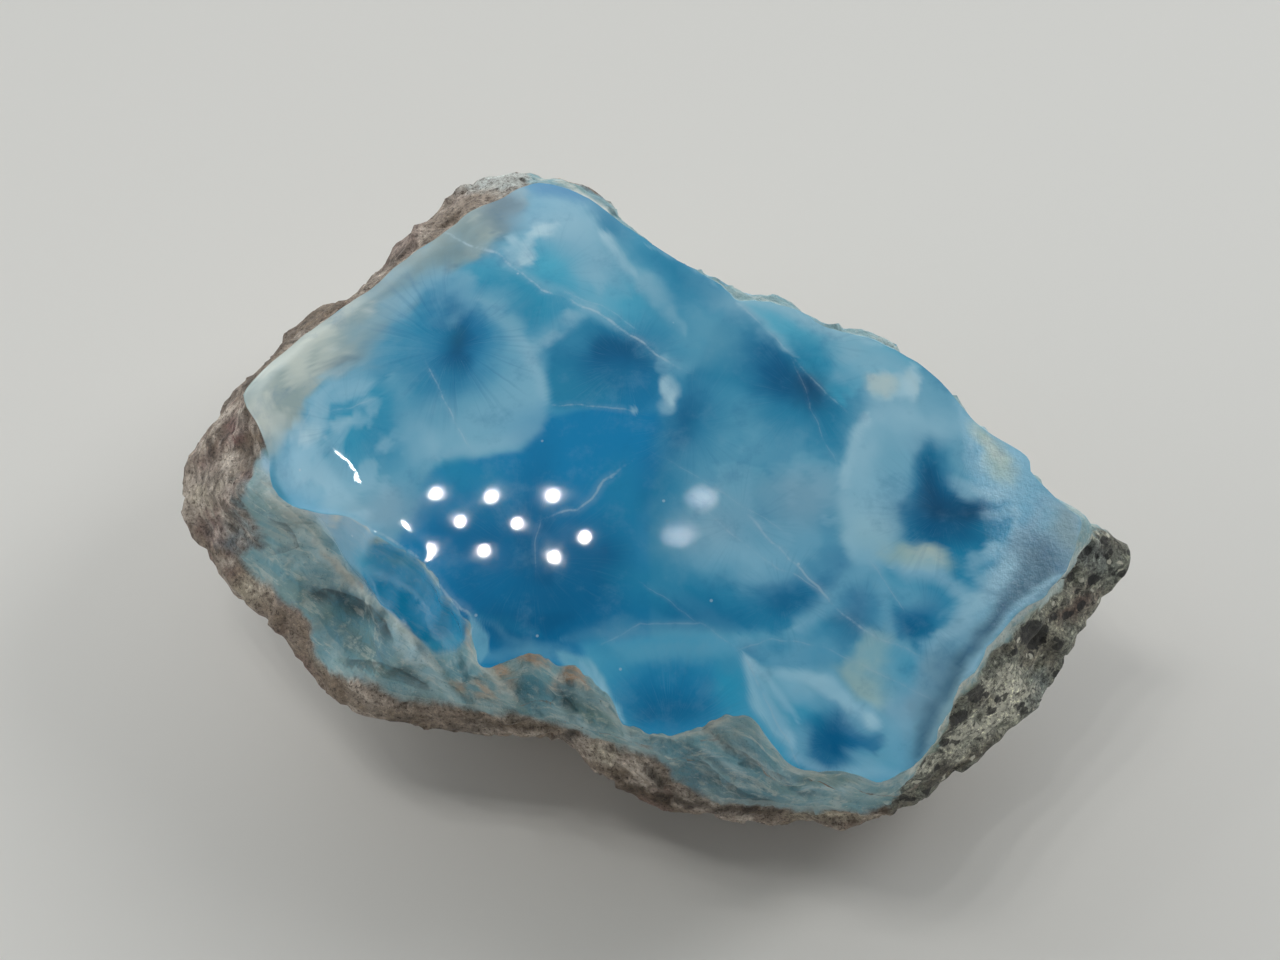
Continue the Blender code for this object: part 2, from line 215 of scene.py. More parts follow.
def by_angle(curve):
    """Turns a closed curve of x, y, ... into a function of the angle about the seed point."""
    x, y = curve[:, 0] - SEED_POINT[0], curve[:, 1] - SEED_POINT[1]
    angle = np.arctan2(y, x)
    order = np.argsort(angle)
    rows = np.column_stack([np.hypot(x, y), curve[:, 2:]])[order]

    def at(theta):
        return [np.interp(theta, angle[order], row, period=2 * math.pi) for row in rows.T]

    return at


def laid_on_dome(outline):
    """The rim: each point slides along its line of sight until it meets the dome."""
    placed = []
    for across, up, roll in outline:
        height = CROWN[2]
        for _ in range(12):
            x, y = lay(across, up, height)
            height = dome(x, y)
        placed.append((x, y, roll))
    return placed


def laid_at_height(outline):
    return [(*lay(across, up, height), height) for across, up, height in outline]


rim_at = by_angle(closed_curve(laid_on_dome(RIM)))
shelf_at = by_angle(closed_curve(laid_at_height(SHELF)))
girdle_at = by_angle(closed_curve(laid_at_height(GIRDLE)))
foot_at = by_angle(closed_curve(FOOT))


def face_height(x, y, inside, roll):
    """The polished surface at a distance inside the rim, with its edge rolled over."""
    width = 0.8 + 1.2 * roll
    return dome(x, y) - roll * np.exp(-((inside / width) ** 2))


def rim_chips(theta):
    """Small random chips along the rim, larger on the front, where it is broken."""
    around = np.column_stack([np.cos(theta), np.sin(theta), np.zeros_like(theta)])
    front = ramp(-np.sin(theta), -0.1, 0.4)
    return fractal(around, 0.055, 3, seed=97) * (RIM_CHIPS[1] + (RIM_CHIPS[0] - RIM_CHIPS[1]) * front)


def through(points, s):
    """A smooth step from the second point to the third, with the first and last giving the slopes."""
    a, b, c, d = points
    tension = 0.35
    return (b + s * tension * (c - a)
            + s ** 2 * (3 * (c - b) - tension * (2 * (c - a) + (d - b)))
            + s ** 3 * (2 * (b - c) + tension * ((c - a) + (d - b))))


def smooth_form(theta, t):
    """The stone without its relief: angle about the seed point and way down from the top pole."""
    rim, roll = rim_at(theta)
    rim = rim + rim_chips(theta)
    shelf, shelf_height = shelf_at(theta)
    girdle, girdle_height = girdle_at(theta)
    (foot,) = foot_at(theta)
    cosine, sine = np.cos(theta), np.sin(theta)

    rim_x, rim_y = SEED_POINT[0] + rim * cosine, SEED_POINT[1] + rim * sine
    rim_height = face_height(rim_x, rim_y, 0.0, roll)
    flat = foot * FOOT_FLAT_SHARE
    radii = [2 * rim - shelf, rim, shelf, girdle, foot, flat]
    heights = [2 * rim_height - shelf_height, rim_height, shelf_height, girdle_height,
               np.full_like(foot, FOOT_EDGE_HEIGHT), np.zeros_like(foot)]
    stops = [RIM_AT, SHELF_AT, GIRDLE_AT, FOOT_AT]

    face_share = np.clip(t / RIM_AT, 0, 1)
    radius = rim * face_share ** 0.9
    x, y = SEED_POINT[0] + radius * cosine, SEED_POINT[1] + radius * sine
    height = face_height(x, y, rim - radius, roll)
    for i in range(3):
        s = np.clip((t - stops[i]) / (stops[i + 1] - stops[i]), 0, 1)
        here = t > stops[i]
        radius = np.where(here, through(radii[i:i + 4], s), radius)
        height = np.where(here, through(heights[i:i + 4], s), height)
    s = np.clip((t - FOOT_AT) / (1 - FOOT_AT), 0, 1)
    here = t > FOOT_AT
    radius = np.where(here, foot * (1 - s), radius)
    edge = np.clip((radius / foot - FOOT_FLAT_SHARE) / (1 - FOOT_FLAT_SHARE), 0, 1)
    height = np.where(here, FOOT_EDGE_HEIGHT * edge ** 1.5, height)
    return np.stack([SEED_POINT[0] + radius * cosine, SEED_POINT[1] + radius * sine, height], -1)


def outward(theta, t):
    """Unit normals of the smooth form."""
    step = 0.004
    around = smooth_form(theta + step, t) - smooth_form(theta - step, t)
    down = smooth_form(theta, np.clip(t + step, 0, 1)) - smooth_form(theta, np.clip(t - step, 0, 1))
    normal = np.cross(down, around)
    return normal / np.maximum(np.linalg.norm(normal, axis=-1, keepdims=True), 1e-9)


def dents(points, spots):
    """How deep the listed hollows are at each point."""
    deep = np.zeros(len(points))
    for across, up, height, radius, depth in spots:
        centre = np.array([*lay(across, up, height), height])
        far = np.linalg.norm(points - centre, axis=1) / radius
        deep += depth * np.clip(1 - far ** 2, 0, 1) ** 1.5
    return deep


def chips(point):
    """Shell-shaped breaks: shallow bowls that meet in ridges."""
    size, depth = CHIPS
    warp = 0.35 * Vector([noise.noise(point / size + shift) for shift in CHIP_SHIFTS])
    distances, _ = noise.voronoi(point / size + warp)
    return depth * (min(distances[0], 0.8) ** 2 - 0.35)


def ledges(point):
    """Steps that run round the stone, each a slow slope and a short drop."""
    spacing, depth = LEDGES
    level = point.z / spacing + 0.9 * noise.noise(point / 14.0 + LUMP_SEED)
    share = level - math.floor(level)
    drop = min(share / 0.25, 1.0)
    return depth * (drop * drop * (3 - 2 * drop) - share)


def breaks(points):
    """The named ridges and steps of the broken front."""
    at = seen(points)
    front = ramp(-points[:, 1], 2.0, 6.0)
    relief = np.zeros(len(points))
    for line, rise, below, above in CRESTS:
        far, side, _ = to_segments(at, line)
        relief += rise * np.exp(-far / np.where(side > 0, below, above))
    for line, rise, reach in STEPS:
        far, side, along = to_segments(at, line)
        ends = 1 - np.abs(2 * along - 1) ** 4
        relief += 0.5 * rise * np.tanh(side * far / 2.5) * np.exp(-far / reach) * ends
    return relief * front


# The glossy hollow under the left edge of the face, in the photo's pixels
SCOOP = [
    (362, 560), (374, 542), (394, 544), (418, 559), (430, 573), (443, 592), (458, 606), (467, 622),
    (465, 640), (456, 651), (437, 656), (422, 642), (403, 625), (380, 604), (364, 584),
]

# The strip between the rim and the crest at the left, which is as smooth as the hollow
LIP = [
    (258, 452), (262, 472), (284, 487), (304, 501), (320, 518), (334, 540), (350, 568), (364, 584),
    (372, 566), (374, 542), (384, 534), (350, 508), (310, 498), (280, 484), (270, 462),
]


def smooth_wall(at):
    """How smooth the broken wall is, from 0 to 1."""
    return ramp(np.maximum(inside_outline(at, SCOOP), inside_outline(at, LIP)), -6, 4)


def wall_relief(points):
    """How far the unpolished wall stands out of the smooth form."""
    relief = np.empty(len(points))
    for i, co in enumerate(points):
        point = Vector(co)
        lumps = LUMPS[1] * noise.noise(point / LUMPS[0] + LUMP_SEED)
        knobs = KNOBS[1] * noise.noise(point / KNOBS[0] - LUMP_SEED)
        relief[i] = lumps + knobs + chips(point) + ledges(point) - WORN_BACK
    relief *= 1 - 0.9 * smooth_wall(seen(points))
    return relief + breaks(points) - dents(points, HOLLOWS + GAS_HOLES)


def back_strength(points):
    """The relief grows on the low back and the underside, which the saw and the polish never met."""
    low = np.clip((26.0 - points[:, 2]) / 10.0, 0, 1)
    behind = np.clip(points[:, 1] / 12.0, 0, 1)
    return 1.0 + ROUGHER_BACK * low * behind


def stone_points(theta, t):
    """The finished surface: the smooth form, with relief from the rim down to the foot."""
    points = smooth_form(theta, t)
    wall = (t > RIM_AT + 1e-4) & (t < 1)
    fade_in = np.clip((t[wall] - RIM_AT) / (0.35 * (SHELF_AT - RIM_AT)), 0, 1)
    fade_out = np.clip((FOOT_AT - t[wall]) / (0.2 * (FOOT_AT - GIRDLE_AT)), 0, 1)
    relief = wall_relief(points[wall]) * fade_in * fade_out * back_strength(points[wall])
    points[wall] += outward(theta[wall], t[wall]) * relief[:, None]
    points[wall, 2] = np.maximum(points[wall, 2], np.where(t[wall] < FOOT_AT, FOOT_EDGE_HEIGHT, 0.0))
    return points


def lattice(cells, seed):
    """A repeatable random number from 0 to 1 for each whole-number cell."""
    x, y, z = [cells[..., i].astype(np.int64) for i in range(3)]
    n = (x * 73856093) ^ (y * 19349663) ^ (z * 83492791) ^ (seed * 2654435761)
    n = (n ^ (n >> 13)) * 1274126177
    return ((n ^ (n >> 16)) & 0xFFFF) / 65535.0


def three_numbers(cells, seed):
    return np.column_stack([lattice(cells, seed + i) for i in range(3)])


def value_noise(points, seed):
    """Smooth noise from -1 to 1."""
    low = np.floor(points)
    f = points - low
    f = f * f * f * (f * (f * 6 - 15) + 10)
    total = np.zeros(len(points))
    for corner in np.ndindex(2, 2, 2):
        weight = np.ones(len(points))
        for i in range(3):
            weight = weight * (f[:, i] if corner[i] else 1 - f[:, i])
        total += weight * lattice(low + np.array(corner), seed)
    return total * 2 - 1


def fractal(points, size, octaves, seed):
    """Noise of several sizes, from size downwards, about -1 to 1."""
    total, weight = np.zeros(len(points)), 0.0
    for octave in range(octaves):
        share = 0.5 ** octave
        total += share * value_noise(points * (2 ** octave / size) + 17.3 * octave, seed + octave)
        weight += share
    return total / weight * 1.6


def ramp(x, low, high):
    """0 below low, 1 above high, smooth between."""
    s = np.clip((x - low) / (high - low), 0, 1)
    return s * s * (3 - 2 * s)


def to_segments(points, line):
    """Distance to a line of points, the side it lies on, and how far along the line, from 0 to 1."""
    line = np.array(line, float)
    starts, ends = line[:-1], line[1:]
    lengths = np.linalg.norm(ends - starts, axis=1)
    before = np.concatenate([[0], np.cumsum(lengths)[:-1]])
    best = np.full(len(points), 1e9)
    side, along = np.zeros(len(points)), np.zeros(len(points))
    for start, end, length, offset in zip(starts, ends, lengths, before):
        direction = (end - start) / length
        relative = points - start
        reach = np.clip(relative @ direction, 0, length)
        far = np.linalg.norm(relative - reach[:, None] * direction, axis=1)
        cross = direction[0] * relative[:, 1] - direction[1] * relative[:, 0]
        nearer = far < best
        best = np.where(nearer, far, best)
        side = np.where(nearer, np.sign(cross), side)
        along = np.where(nearer, (offset + reach) / lengths.sum(), along)
    return best, side, along


def inside_outline(points, outline):
    """Signed distance to a closed outline, positive inside."""
    outline = np.array(outline, float)
    far, _, _ = to_segments(points, np.vstack([outline, outline[:1]]))
    x, y = points.T
    crossings = np.zeros(len(points), int)
    for (x0, y0), (x1, y1) in zip(outline, np.roll(outline, -1, 0)):
        spans = (y0 > y) != (y1 > y)
        at = x0 + (y - y0) * (x1 - x0) / ((y1 - y0) or 1e-9)
        crossings += spans & (x < at)
    return np.where(crossings % 2 == 1, far, -far)


def linear(red, green, blue):
    """A colour given as it looks on a screen, from 0 to 255, as linear light."""
    return np.array([(c / 255.0) ** 2.2 for c in (red, green, blue)])


# The face's colours as they look in the photo, where about this share of the light comes back
FACE_LIGHT = 0.80
FACE_CAST = np.array([1.03, 1.12, 1.09])
# Colours lighter than this get lighter, and darker ones darker
FACE_MEAN = 0.31
FACE_CONTRAST = 0.14
# How much more of the room's light the face gets at this row of the photo, and how that falls off below it
FAR_LIGHT = 0.16
FAR_LIGHT_ROW = 200
FAR_LIGHT_FALL = 0.00063
FACE_PIGMENTS = {
    "navy": (30, 72, 106),
    "ink": (18, 82, 122),
    "deep": (20, 92, 136),
    "rich": (24, 114, 162),
    "azure": (40, 118, 154),
    "mid": (68, 136, 168),
    "teal": (45, 132, 165),
    "turquoise": (70, 154, 182),
    "haze": (96, 146, 170),
    "pale": (116, 158, 180),
    "cloud": (134, 167, 185),
    "white": (158, 182, 195),
    "grey": (148, 156, 155),
    "smoke": (108, 128, 133),
    "slate": (70, 100, 120),
    "lavender": (116, 144, 164),
    "milk": (182, 182, 176),
    "beige": (148, 164, 157),
}
WALL_PIGMENTS = {
    "sea": (122, 152, 156),
    "foam": (150, 176, 178),
    "mist": (176, 200, 204),
    "sky": (104, 160, 172),
    "stream": (78, 136, 152),
    "pool": (8, 124, 166),
    "pool_light": (58, 150, 182),
    "moss": (96, 128, 122),
    # Painted shade: this pigment and the next darken hollows, cracks and the undersides of ledges
    "shade": (66, 100, 108),
    "crevice_shade": (34, 44, 48),
    "chalk": (192, 196, 186),
    "sand": (160, 152, 132),
    "rust": (180, 150, 122),
    "rind": (132, 120, 108),
    "bark": (98, 84, 68),
    # Dark brown of the rind, used too as painted shade along the bottom edge and in gas holes
    "soil": (62, 52, 42),
    "maroon": (92, 62, 58),
    "crust": (178, 168, 156),
    "ash": (106, 120, 122),
    "dusk": (84, 94, 100),
    "basalt": (112, 114, 103),
    "lichen": (112, 126, 104),
    # Painted shade: the near-black insides of gas holes and pits
    "pit_shade": (26, 26, 26),
    "crystal": (184, 182, 166),
}
WALL_GAIN = 1.16
PIGMENTS = {name: np.minimum(linear(*seen_as) / FACE_LIGHT, 0.8) for name, seen_as in FACE_PIGMENTS.items()}
PIGMENTS.update({name: linear(*tint) * WALL_GAIN for name, tint in WALL_PIGMENTS.items()})


# How strongly the uneven thickness of the paint shows in a blot
PATCHY = 0.6


def oval(at, middle, reach, turn):
    """How far out each place lies in an oval that is turned clockwise, in degrees: 1 on its outline."""
    cosine, sine = math.cos(math.radians(turn)), math.sin(math.radians(turn))
    x, y = (at - np.array(middle)).T
    return np.hypot((x * cosine + y * sine) / reach[0], (y * cosine - x * sine) / reach[1])


class Paint:
    """The colour of each point of the stone, laid on stroke by stroke in the photograph's pixels."""

    def __init__(self, points):
        self.points = points
        self.at = seen(points)
        self.color = np.tile(PIGMENTS["mid"], (len(points), 1))
        self.ragged = np.column_stack([fractal(points, 5.0, 5, seed) for seed in (11, 23)])
        self.wispy = np.column_stack([fractal(points, 1.6, 4, seed) for seed in (37, 41)])
        self.speckle = fractal(points, 0.9, 3, seed=53)
        self.thick = 0.55 + 0.45 * ramp(fractal(points, 3.5, 5, seed=59), -0.5, 0.5)

    def moved(self, ragged, wispy, here=slice(None)):
        """The places of the points in the photo, shifted so that what is drawn there has uneven edges."""
        return self.at[here] + ragged * self.ragged[here] + wispy * self.wispy[here]

    def around(self, line, margin):
        """The points in the square round a line or an outline, with a margin."""
        low, high = np.min(line, axis=0), np.max(line, axis=0)
        away = np.abs(self.at - (low + high) / 2).max(axis=1)
        return np.flatnonzero(away < (high - low).max() / 2 + margin)

    def fill(self, pigment):
        self.color[:] = PIGMENTS[pigment]

    def lay_on(self, pigment, mask, here=slice(None)):
        mask = np.clip(mask, 0, 1)[:, None]
        self.color[here] = self.color[here] * (1 - mask) + PIGMENTS[pigment] * mask

    def blot(self, pigment, middle, reach, turn, strength, soft=0.9, ragged=7, wispy=3, grain=0.0):
        """An oval that fades over a share of its reach."""
        here = self.around([middle], 2 * max(reach) + 20)
        far = oval(self.moved(ragged, wispy, here), middle, reach, turn) + grain * self.speckle[here]
        cover = self.thick[here] ** PATCHY * (1 - ramp(far, 1 - soft, 1 + soft))
        self.lay_on(pigment, strength * cover, here)

    def blots(self, strokes, **how):
        for stroke in strokes:
            self.blot(*stroke, **how)

    def area(self, pigment, outline, strength=0.9, soft=6, ragged=5, wispy=2):
        """An outlined zone with an edge that fades over some pixels."""
        here = self.around(outline, 40)
        inside = ramp(inside_outline(self.moved(ragged, wispy, here), outline), -soft, soft)
        self.lay_on(pigment, strength * inside, here)

    def mottle(self, pigment, outline, size, strength=0.6, soft=10, cover=0.0):
        """Cloudy patches of a size in millimetres inside an outline: the more cover, the wider they are."""
        here = self.around(outline, 40)
        cloud = fractal(self.points[here], size, 5, seed=int(size * 10) + len(pigment))
        inside = ramp(inside_outline(self.moved(5, 3, here), outline), -soft, soft)
        self.lay_on(pigment, strength * inside * ramp(cloud, -cover, 0.35 - cover), here)

    def line(self, pigment, points, width, strength):
        """A line with a soft edge that is thickest in its middle."""
        here = self.around(points, 2 * width + 20)
        far, _, along = to_segments(self.moved(5, 3, here), points)
        taper = np.sqrt(np.clip(1 - (2 * along - 1) ** 4, 0.02, 1))
        breadth = width * taper * (0.4 + 0.8 * self.thick[here])
        cover = self.thick[here] * (1 - ramp(far / breadth, 0.05, 1.95))
        self.lay_on(pigment, strength * cover, here)

    def lines(self, strokes):
        for stroke in strokes:
            self.line(*stroke)

    def grain(self, size):
        return fractal(self.points, size, 4, seed=int(size * 100))


# The strokes, in the photo's pixels. A blot is its pigment, middle, reach, turn and strength, and a line is
# its pigment, points, half width and strength.


def paint_grounds(paint):
    """The broad fields of the face, before their cells."""
    top = [
        (510, 176), (565, 176), (640, 230), (735, 295), (770, 340), (742, 395), (690, 372), (640, 330),
        (600, 300), (520, 300), (470, 290), (480, 230),
    ]
    paint.area("mid", top)
    right_side = [
        (735, 296), (880, 335), (930, 365), (1000, 440), (1050, 500), (1085, 540), (1040, 600), (960, 660),
        (920, 780), (800, 770), (740, 650), (640, 600), (640, 480), (690, 380),
    ]
    paint.area("azure", right_side, 0.8)
    deep_middle = [
        (548, 415), (600, 407), (655, 412), (672, 440), (655, 480), (650, 530), (650, 590), (650, 640),
        (600, 655), (555, 670), (480, 670), (460, 620), (430, 570), (395, 540), (418, 500), (425, 474),
        (475, 460), (522, 450),
    ]
    paint.area("rich", deep_middle, 0.97, soft=4, ragged=3, wispy=1)


def paint_grey_band(paint):
    """The translucent grey band inside the upper left rim."""
    whole_band = [
        (522, 182), (470, 203), (438, 232), (398, 256), (348, 290), (288, 332), (250, 355), (228, 385),
        (232, 415), (256, 430), (262, 470), (275, 462), (284, 440), (298, 425), (305, 400), (325, 385),
        (350, 370), (372, 348), (382, 334), (398, 318), (405, 300), (430, 290), (452, 270), (480, 250),
        (505, 232), (522, 205),
    ]
    paint.area("grey", whole_band, 0.97, soft=5, ragged=8, wispy=4)
    shades = [
        ("smoke", (480, 222), (36, 18), -30, 0.9), ("slate", (506, 216), (12, 24), 10, 0.75),
        ("slate", (498, 205), (16, 8), -20, 0.4), ("smoke", (450, 252), (36, 10), -14, 0.9),
        ("slate", (462, 252), (20, 8), -5, 0.55), ("smoke", (428, 275), (34, 13), -35, 0.75),
        ("slate", (438, 272), (14, 10), -40, 0.45), ("slate", (392, 338), (30, 14), -50, 0.5),
        ("smoke", (372, 352), (26, 12), -40, 0.5), ("slate", (348, 366), (18, 8), -20, 0.4),
        ("milk", (262, 392), (14, 30), 14, 0.75), ("milk", (262, 424), (12, 18), 0, 0.5),
        ("milk", (286, 368), (22, 16), -30, 0.5), ("milk", (318, 340), (22, 10), -38, 0.5),
        ("milk", (350, 300), (16, 10), -38, 0.35),
    ]
    paint.blots(shades)
    mottled_part = [
        (522, 186), (438, 236), (348, 292), (252, 357), (234, 400), (262, 440), (275, 470), (305, 405),
        (350, 372), (382, 338), (405, 304), (470, 262), (522, 215),
    ]
    paint.mottle("milk", mottled_part, 3.4, 0.4, soft=4)
    paint.mottle("smoke", mottled_part, 5.0, 0.4, soft=6)
    left_part = [(240, 372), (300, 322), (372, 282), (410, 300), (330, 345), (280, 420), (262, 440)]
    paint.mottle("milk", left_part, 2.4, 0.5, soft=8, cover=0.1)
    upper_part = [(395, 300), (470, 240), (522, 200), (520, 225), (450, 285), (400, 330), (350, 372)]
    paint.mottle("slate", upper_part, 1.6, 0.5, soft=8)
    milky_spots = [
        ("milk", (365, 307), (5, 4), 0, 0.9), ("milk", (310, 338), (5, 4), 0, 0.8),
        ("milk", (350, 352), (5, 3), 0, 0.6), ("milk", (334, 348), (6, 4), 0, 0.5),
        ("milk", (345, 300), (4, 3), 0, 0.6), ("milk", (300, 345), (4, 3), 0, 0.6),
    ]
    paint.blots(milky_spots, soft=0.7, ragged=3)
    inner_edge = [
        ("cloud", (430, 292), (30, 8), -28, 0.8), ("slate", (420, 285), (22, 6), -28, 0.6),
        ("slate", (382, 338), (26, 10), -50, 0.6), ("slate", (350, 360), (24, 7), -25, 0.6),
        ("cloud", (360, 372), (34, 6), -25, 0.5), ("cloud", (402, 312), (6, 16), 20, 0.5),
    ]
    paint.blots(inner_edge, grain=0.5, ragged=9, wispy=6)


def paint_top(paint):
    """The pale and turquoise stretch below the top of the stone."""
    fields = [
        ("rich", (556, 188), (40, 9), 14, 0.8), ("azure", (604, 210), (26, 11), 40, 0.9),
        ("pale", (560, 212), (46, 20), 20, 0.85), ("cloud", (545, 228), (40, 16), 5, 0.6),
        ("cloud", (590, 252), (26, 34), -15, 0.75), ("pale", (572, 252), (30, 16), 15, 0.6),
        ("turquoise", (548, 268), (34, 20), 20, 0.95), ("turquoise", (590, 292), (26, 14), 25, 0.6),
        ("lavender", (512, 222), (9, 14), 20, 0.6), ("pale", (500, 262), (28, 14), 20, 0.5),
        ("turquoise", (478, 268), (18, 8), -10, 0.6), ("teal", (520, 305), (46, 24), 38, 0.95),
        ("teal", (492, 288), (22, 16), 30, 0.7), ("azure", (528, 318), (28, 12), 42, 0.5),
        ("mid", (545, 330), (26, 10), -35, 0.7), ("pale", (600, 305), (20, 12), 30, 0.6),
        ("turquoise", (632, 300), (30, 22), 45, 0.7), ("haze", (622, 262), (16, 30), -30, 0.6),
        ("azure", (690, 285), (36, 16), 32, 0.75), ("azure", (660, 262), (26, 8), 30, 0.6),
        ("azure", (718, 296), (14, 14), 40, 0.5), ("haze", (700, 330), (42, 18), 35, 0.5),
        ("mid", (648, 325), (22, 20), 40, 0.6), ("haze", (735, 345), (30, 20), 30, 0.6),
    ]
    paint.blots(fields)
    white_wisps = [
        ("white", (538, 230), (13, 6), -22, 0.85), ("cloud", (516, 250), (13, 14), 10, 0.9),
        ("white", (522, 258), (7, 6), 0, 0.6), ("white", (508, 244), (6, 6), 0, 0.5),
        ("cloud", (514, 196), (9, 6), 0, 0.7), ("cloud", (572, 316), (10, 7), -20, 0.7),
        ("cloud", (552, 335), (11, 5), -25, 0.9), ("cloud", (465, 284), (12, 10), 30, 0.8),
        ("cloud", (440, 280), (14, 9), -20, 0.6), ("cloud", (598, 276), (6, 12), -10, 0.5),
        ("cloud", (425, 300), (12, 6), -30, 0.6),
    ]
    paint.blots(white_wisps, soft=0.6, ragged=5, wispy=4, grain=0.25)
    streaks = [
        ("white", [(602, 232), (614, 245), (622, 258), (634, 276)], 6, 0.6),
        ("haze", [(634, 276), (655, 302), (678, 330), (700, 350)], 9, 0.55),
        ("pale", [(582, 218), (604, 262), (628, 300)], 8, 0.4),
        ("pale", [(596, 300), (572, 322), (548, 336), (520, 352)], 8, 0.65),
        ("cloud", [(515, 268), (540, 285), (570, 296), (600, 306)], 5, 0.4),
        ("white", [(648, 246), (690, 262), (722, 286)], 2.5, 0.4),
    ]
    paint.lines(streaks)


def paint_first_cell(paint):
    """The big radial cell at the upper left, with its dark core and pale far side."""
    cell = [
        (405, 300), (440, 288), (480, 296), (508, 318), (532, 345), (545, 378), (549, 405), (538, 430),
        (515, 450), (475, 458), (440, 464), (420, 478), (402, 462), (385, 430), (362, 400), (350, 372),
        (385, 330),
    ]
    paint.area("pale", cell, 0.92, soft=5, ragged=3, wispy=1.5)
    core = [
        ("azure", (425, 345), (56, 56), 0, 0.9), ("azure", (445, 312), (50, 22), 10, 0.8),
        ("azure", (405, 385), (36, 40), 30, 0.75), ("mid", (385, 345), (22, 22), 0, 0.7),
        ("mid", (475, 350), (38, 44), 0, 0.6), ("azure", (470, 345), (26, 34), 0, 0.7),
        ("rich", (452, 340), (34, 40), 0, 0.6), ("deep", (452, 346), (22, 36), 4, 0.9),
        ("ink", (454, 346), (12, 26), 6, 0.95), ("navy", (455, 340), (6, 14), 6, 0.5),
        ("ink", (458, 368), (12, 10), 20, 0.4), ("teal", (432, 330), (24, 20), 0, 0.35),
        ("azure", (440, 385), (30, 20), 30, 0.5), ("haze", (470, 425), (46, 26), -12, 0.35),
        ("mid", (408, 312), (18, 12), -20, 0.7), ("slate", (412, 306), (10, 5), -20, 0.4),
    ]
    paint.blots(core)
    border = [
        ("cloud", [(480, 302), (508, 320), (530, 345), (541, 376), (544, 402)], 8, 0.5),
        ("cloud", [(386, 376), (398, 405), (416, 438), (436, 464)], 10, 0.5),
        ("cloud", [(540, 425), (515, 444), (478, 452), (440, 460)], 8, 0.35),
        ("cloud", [(418, 476), (438, 464)], 4, 0.5),
        ("haze", [(478, 296), (500, 312), (520, 334)], 6, 0.4),
    ]
    paint.lines(border)


def paint_left_end(paint):
    """Cloudy blue between the grey band and the first of the lamp's reflections."""
    whole_end = [
        (296, 445), (302, 415), (318, 398), (352, 382), (385, 395), (398, 430), (412, 470), (418, 500),
        (402, 540), (370, 535), (330, 512), (300, 500), (270, 486), (268, 462),
    ]
    paint.area("mid", whole_end, 0.9)
    clouds = [
        ("teal", (372, 412), (32, 24), -30, 0.95), ("teal", (350, 444), (44, 16), -8, 0.7),
        ("azure", (388, 440), (20, 34), -15, 0.7), ("teal", (322, 452), (24, 10), -10, 0.5),
        ("haze", (385, 495), (34, 34), -20, 0.75), ("lavender", (392, 508), (22, 24), 0, 0.75),
        ("pale", (362, 500), (26, 22), 30, 0.55), ("haze", (330, 490), (40, 14), 30, 0.8),
        ("haze", (290, 474), (26, 14), 25, 0.8), ("pale", (300, 488), (30, 8), 25, 0.5),
        ("pale", (408, 478), (12, 30), 8, 0.5), ("haze", (278, 452), (10, 16), 0, 0.7),
        ("mid", (292, 456), (12, 9), 0, 0.5), ("pale", (318, 480), (46, 24), 30, 0.5),
        ("cloud", (372, 508), (34, 16), 30, 0.3),
    ]
    paint.blots(clouds)
    cloudy_part = [(285, 440), (330, 390), (372, 380), (402, 440), (410, 500), (370, 530), (300, 495)]
    paint.mottle("cloud", cloudy_part, 3.0, 0.5, soft=12)
    white_wisps = [
        ("white", (306, 430), (16, 13), -45, 0.75), ("cloud", (318, 404), (18, 10), -50, 0.8),
        ("cloud", (336, 421), (15, 6), -5, 0.8), ("cloud", (350, 388), (18, 9), -10, 0.7),
        ("cloud", (338, 372), (22, 5), -28, 0.5), ("white", (300, 440), (8, 6), 0, 0.5),
    ]
    paint.blots(white_wisps, soft=0.5, ragged=6, wispy=5, grain=0.2)


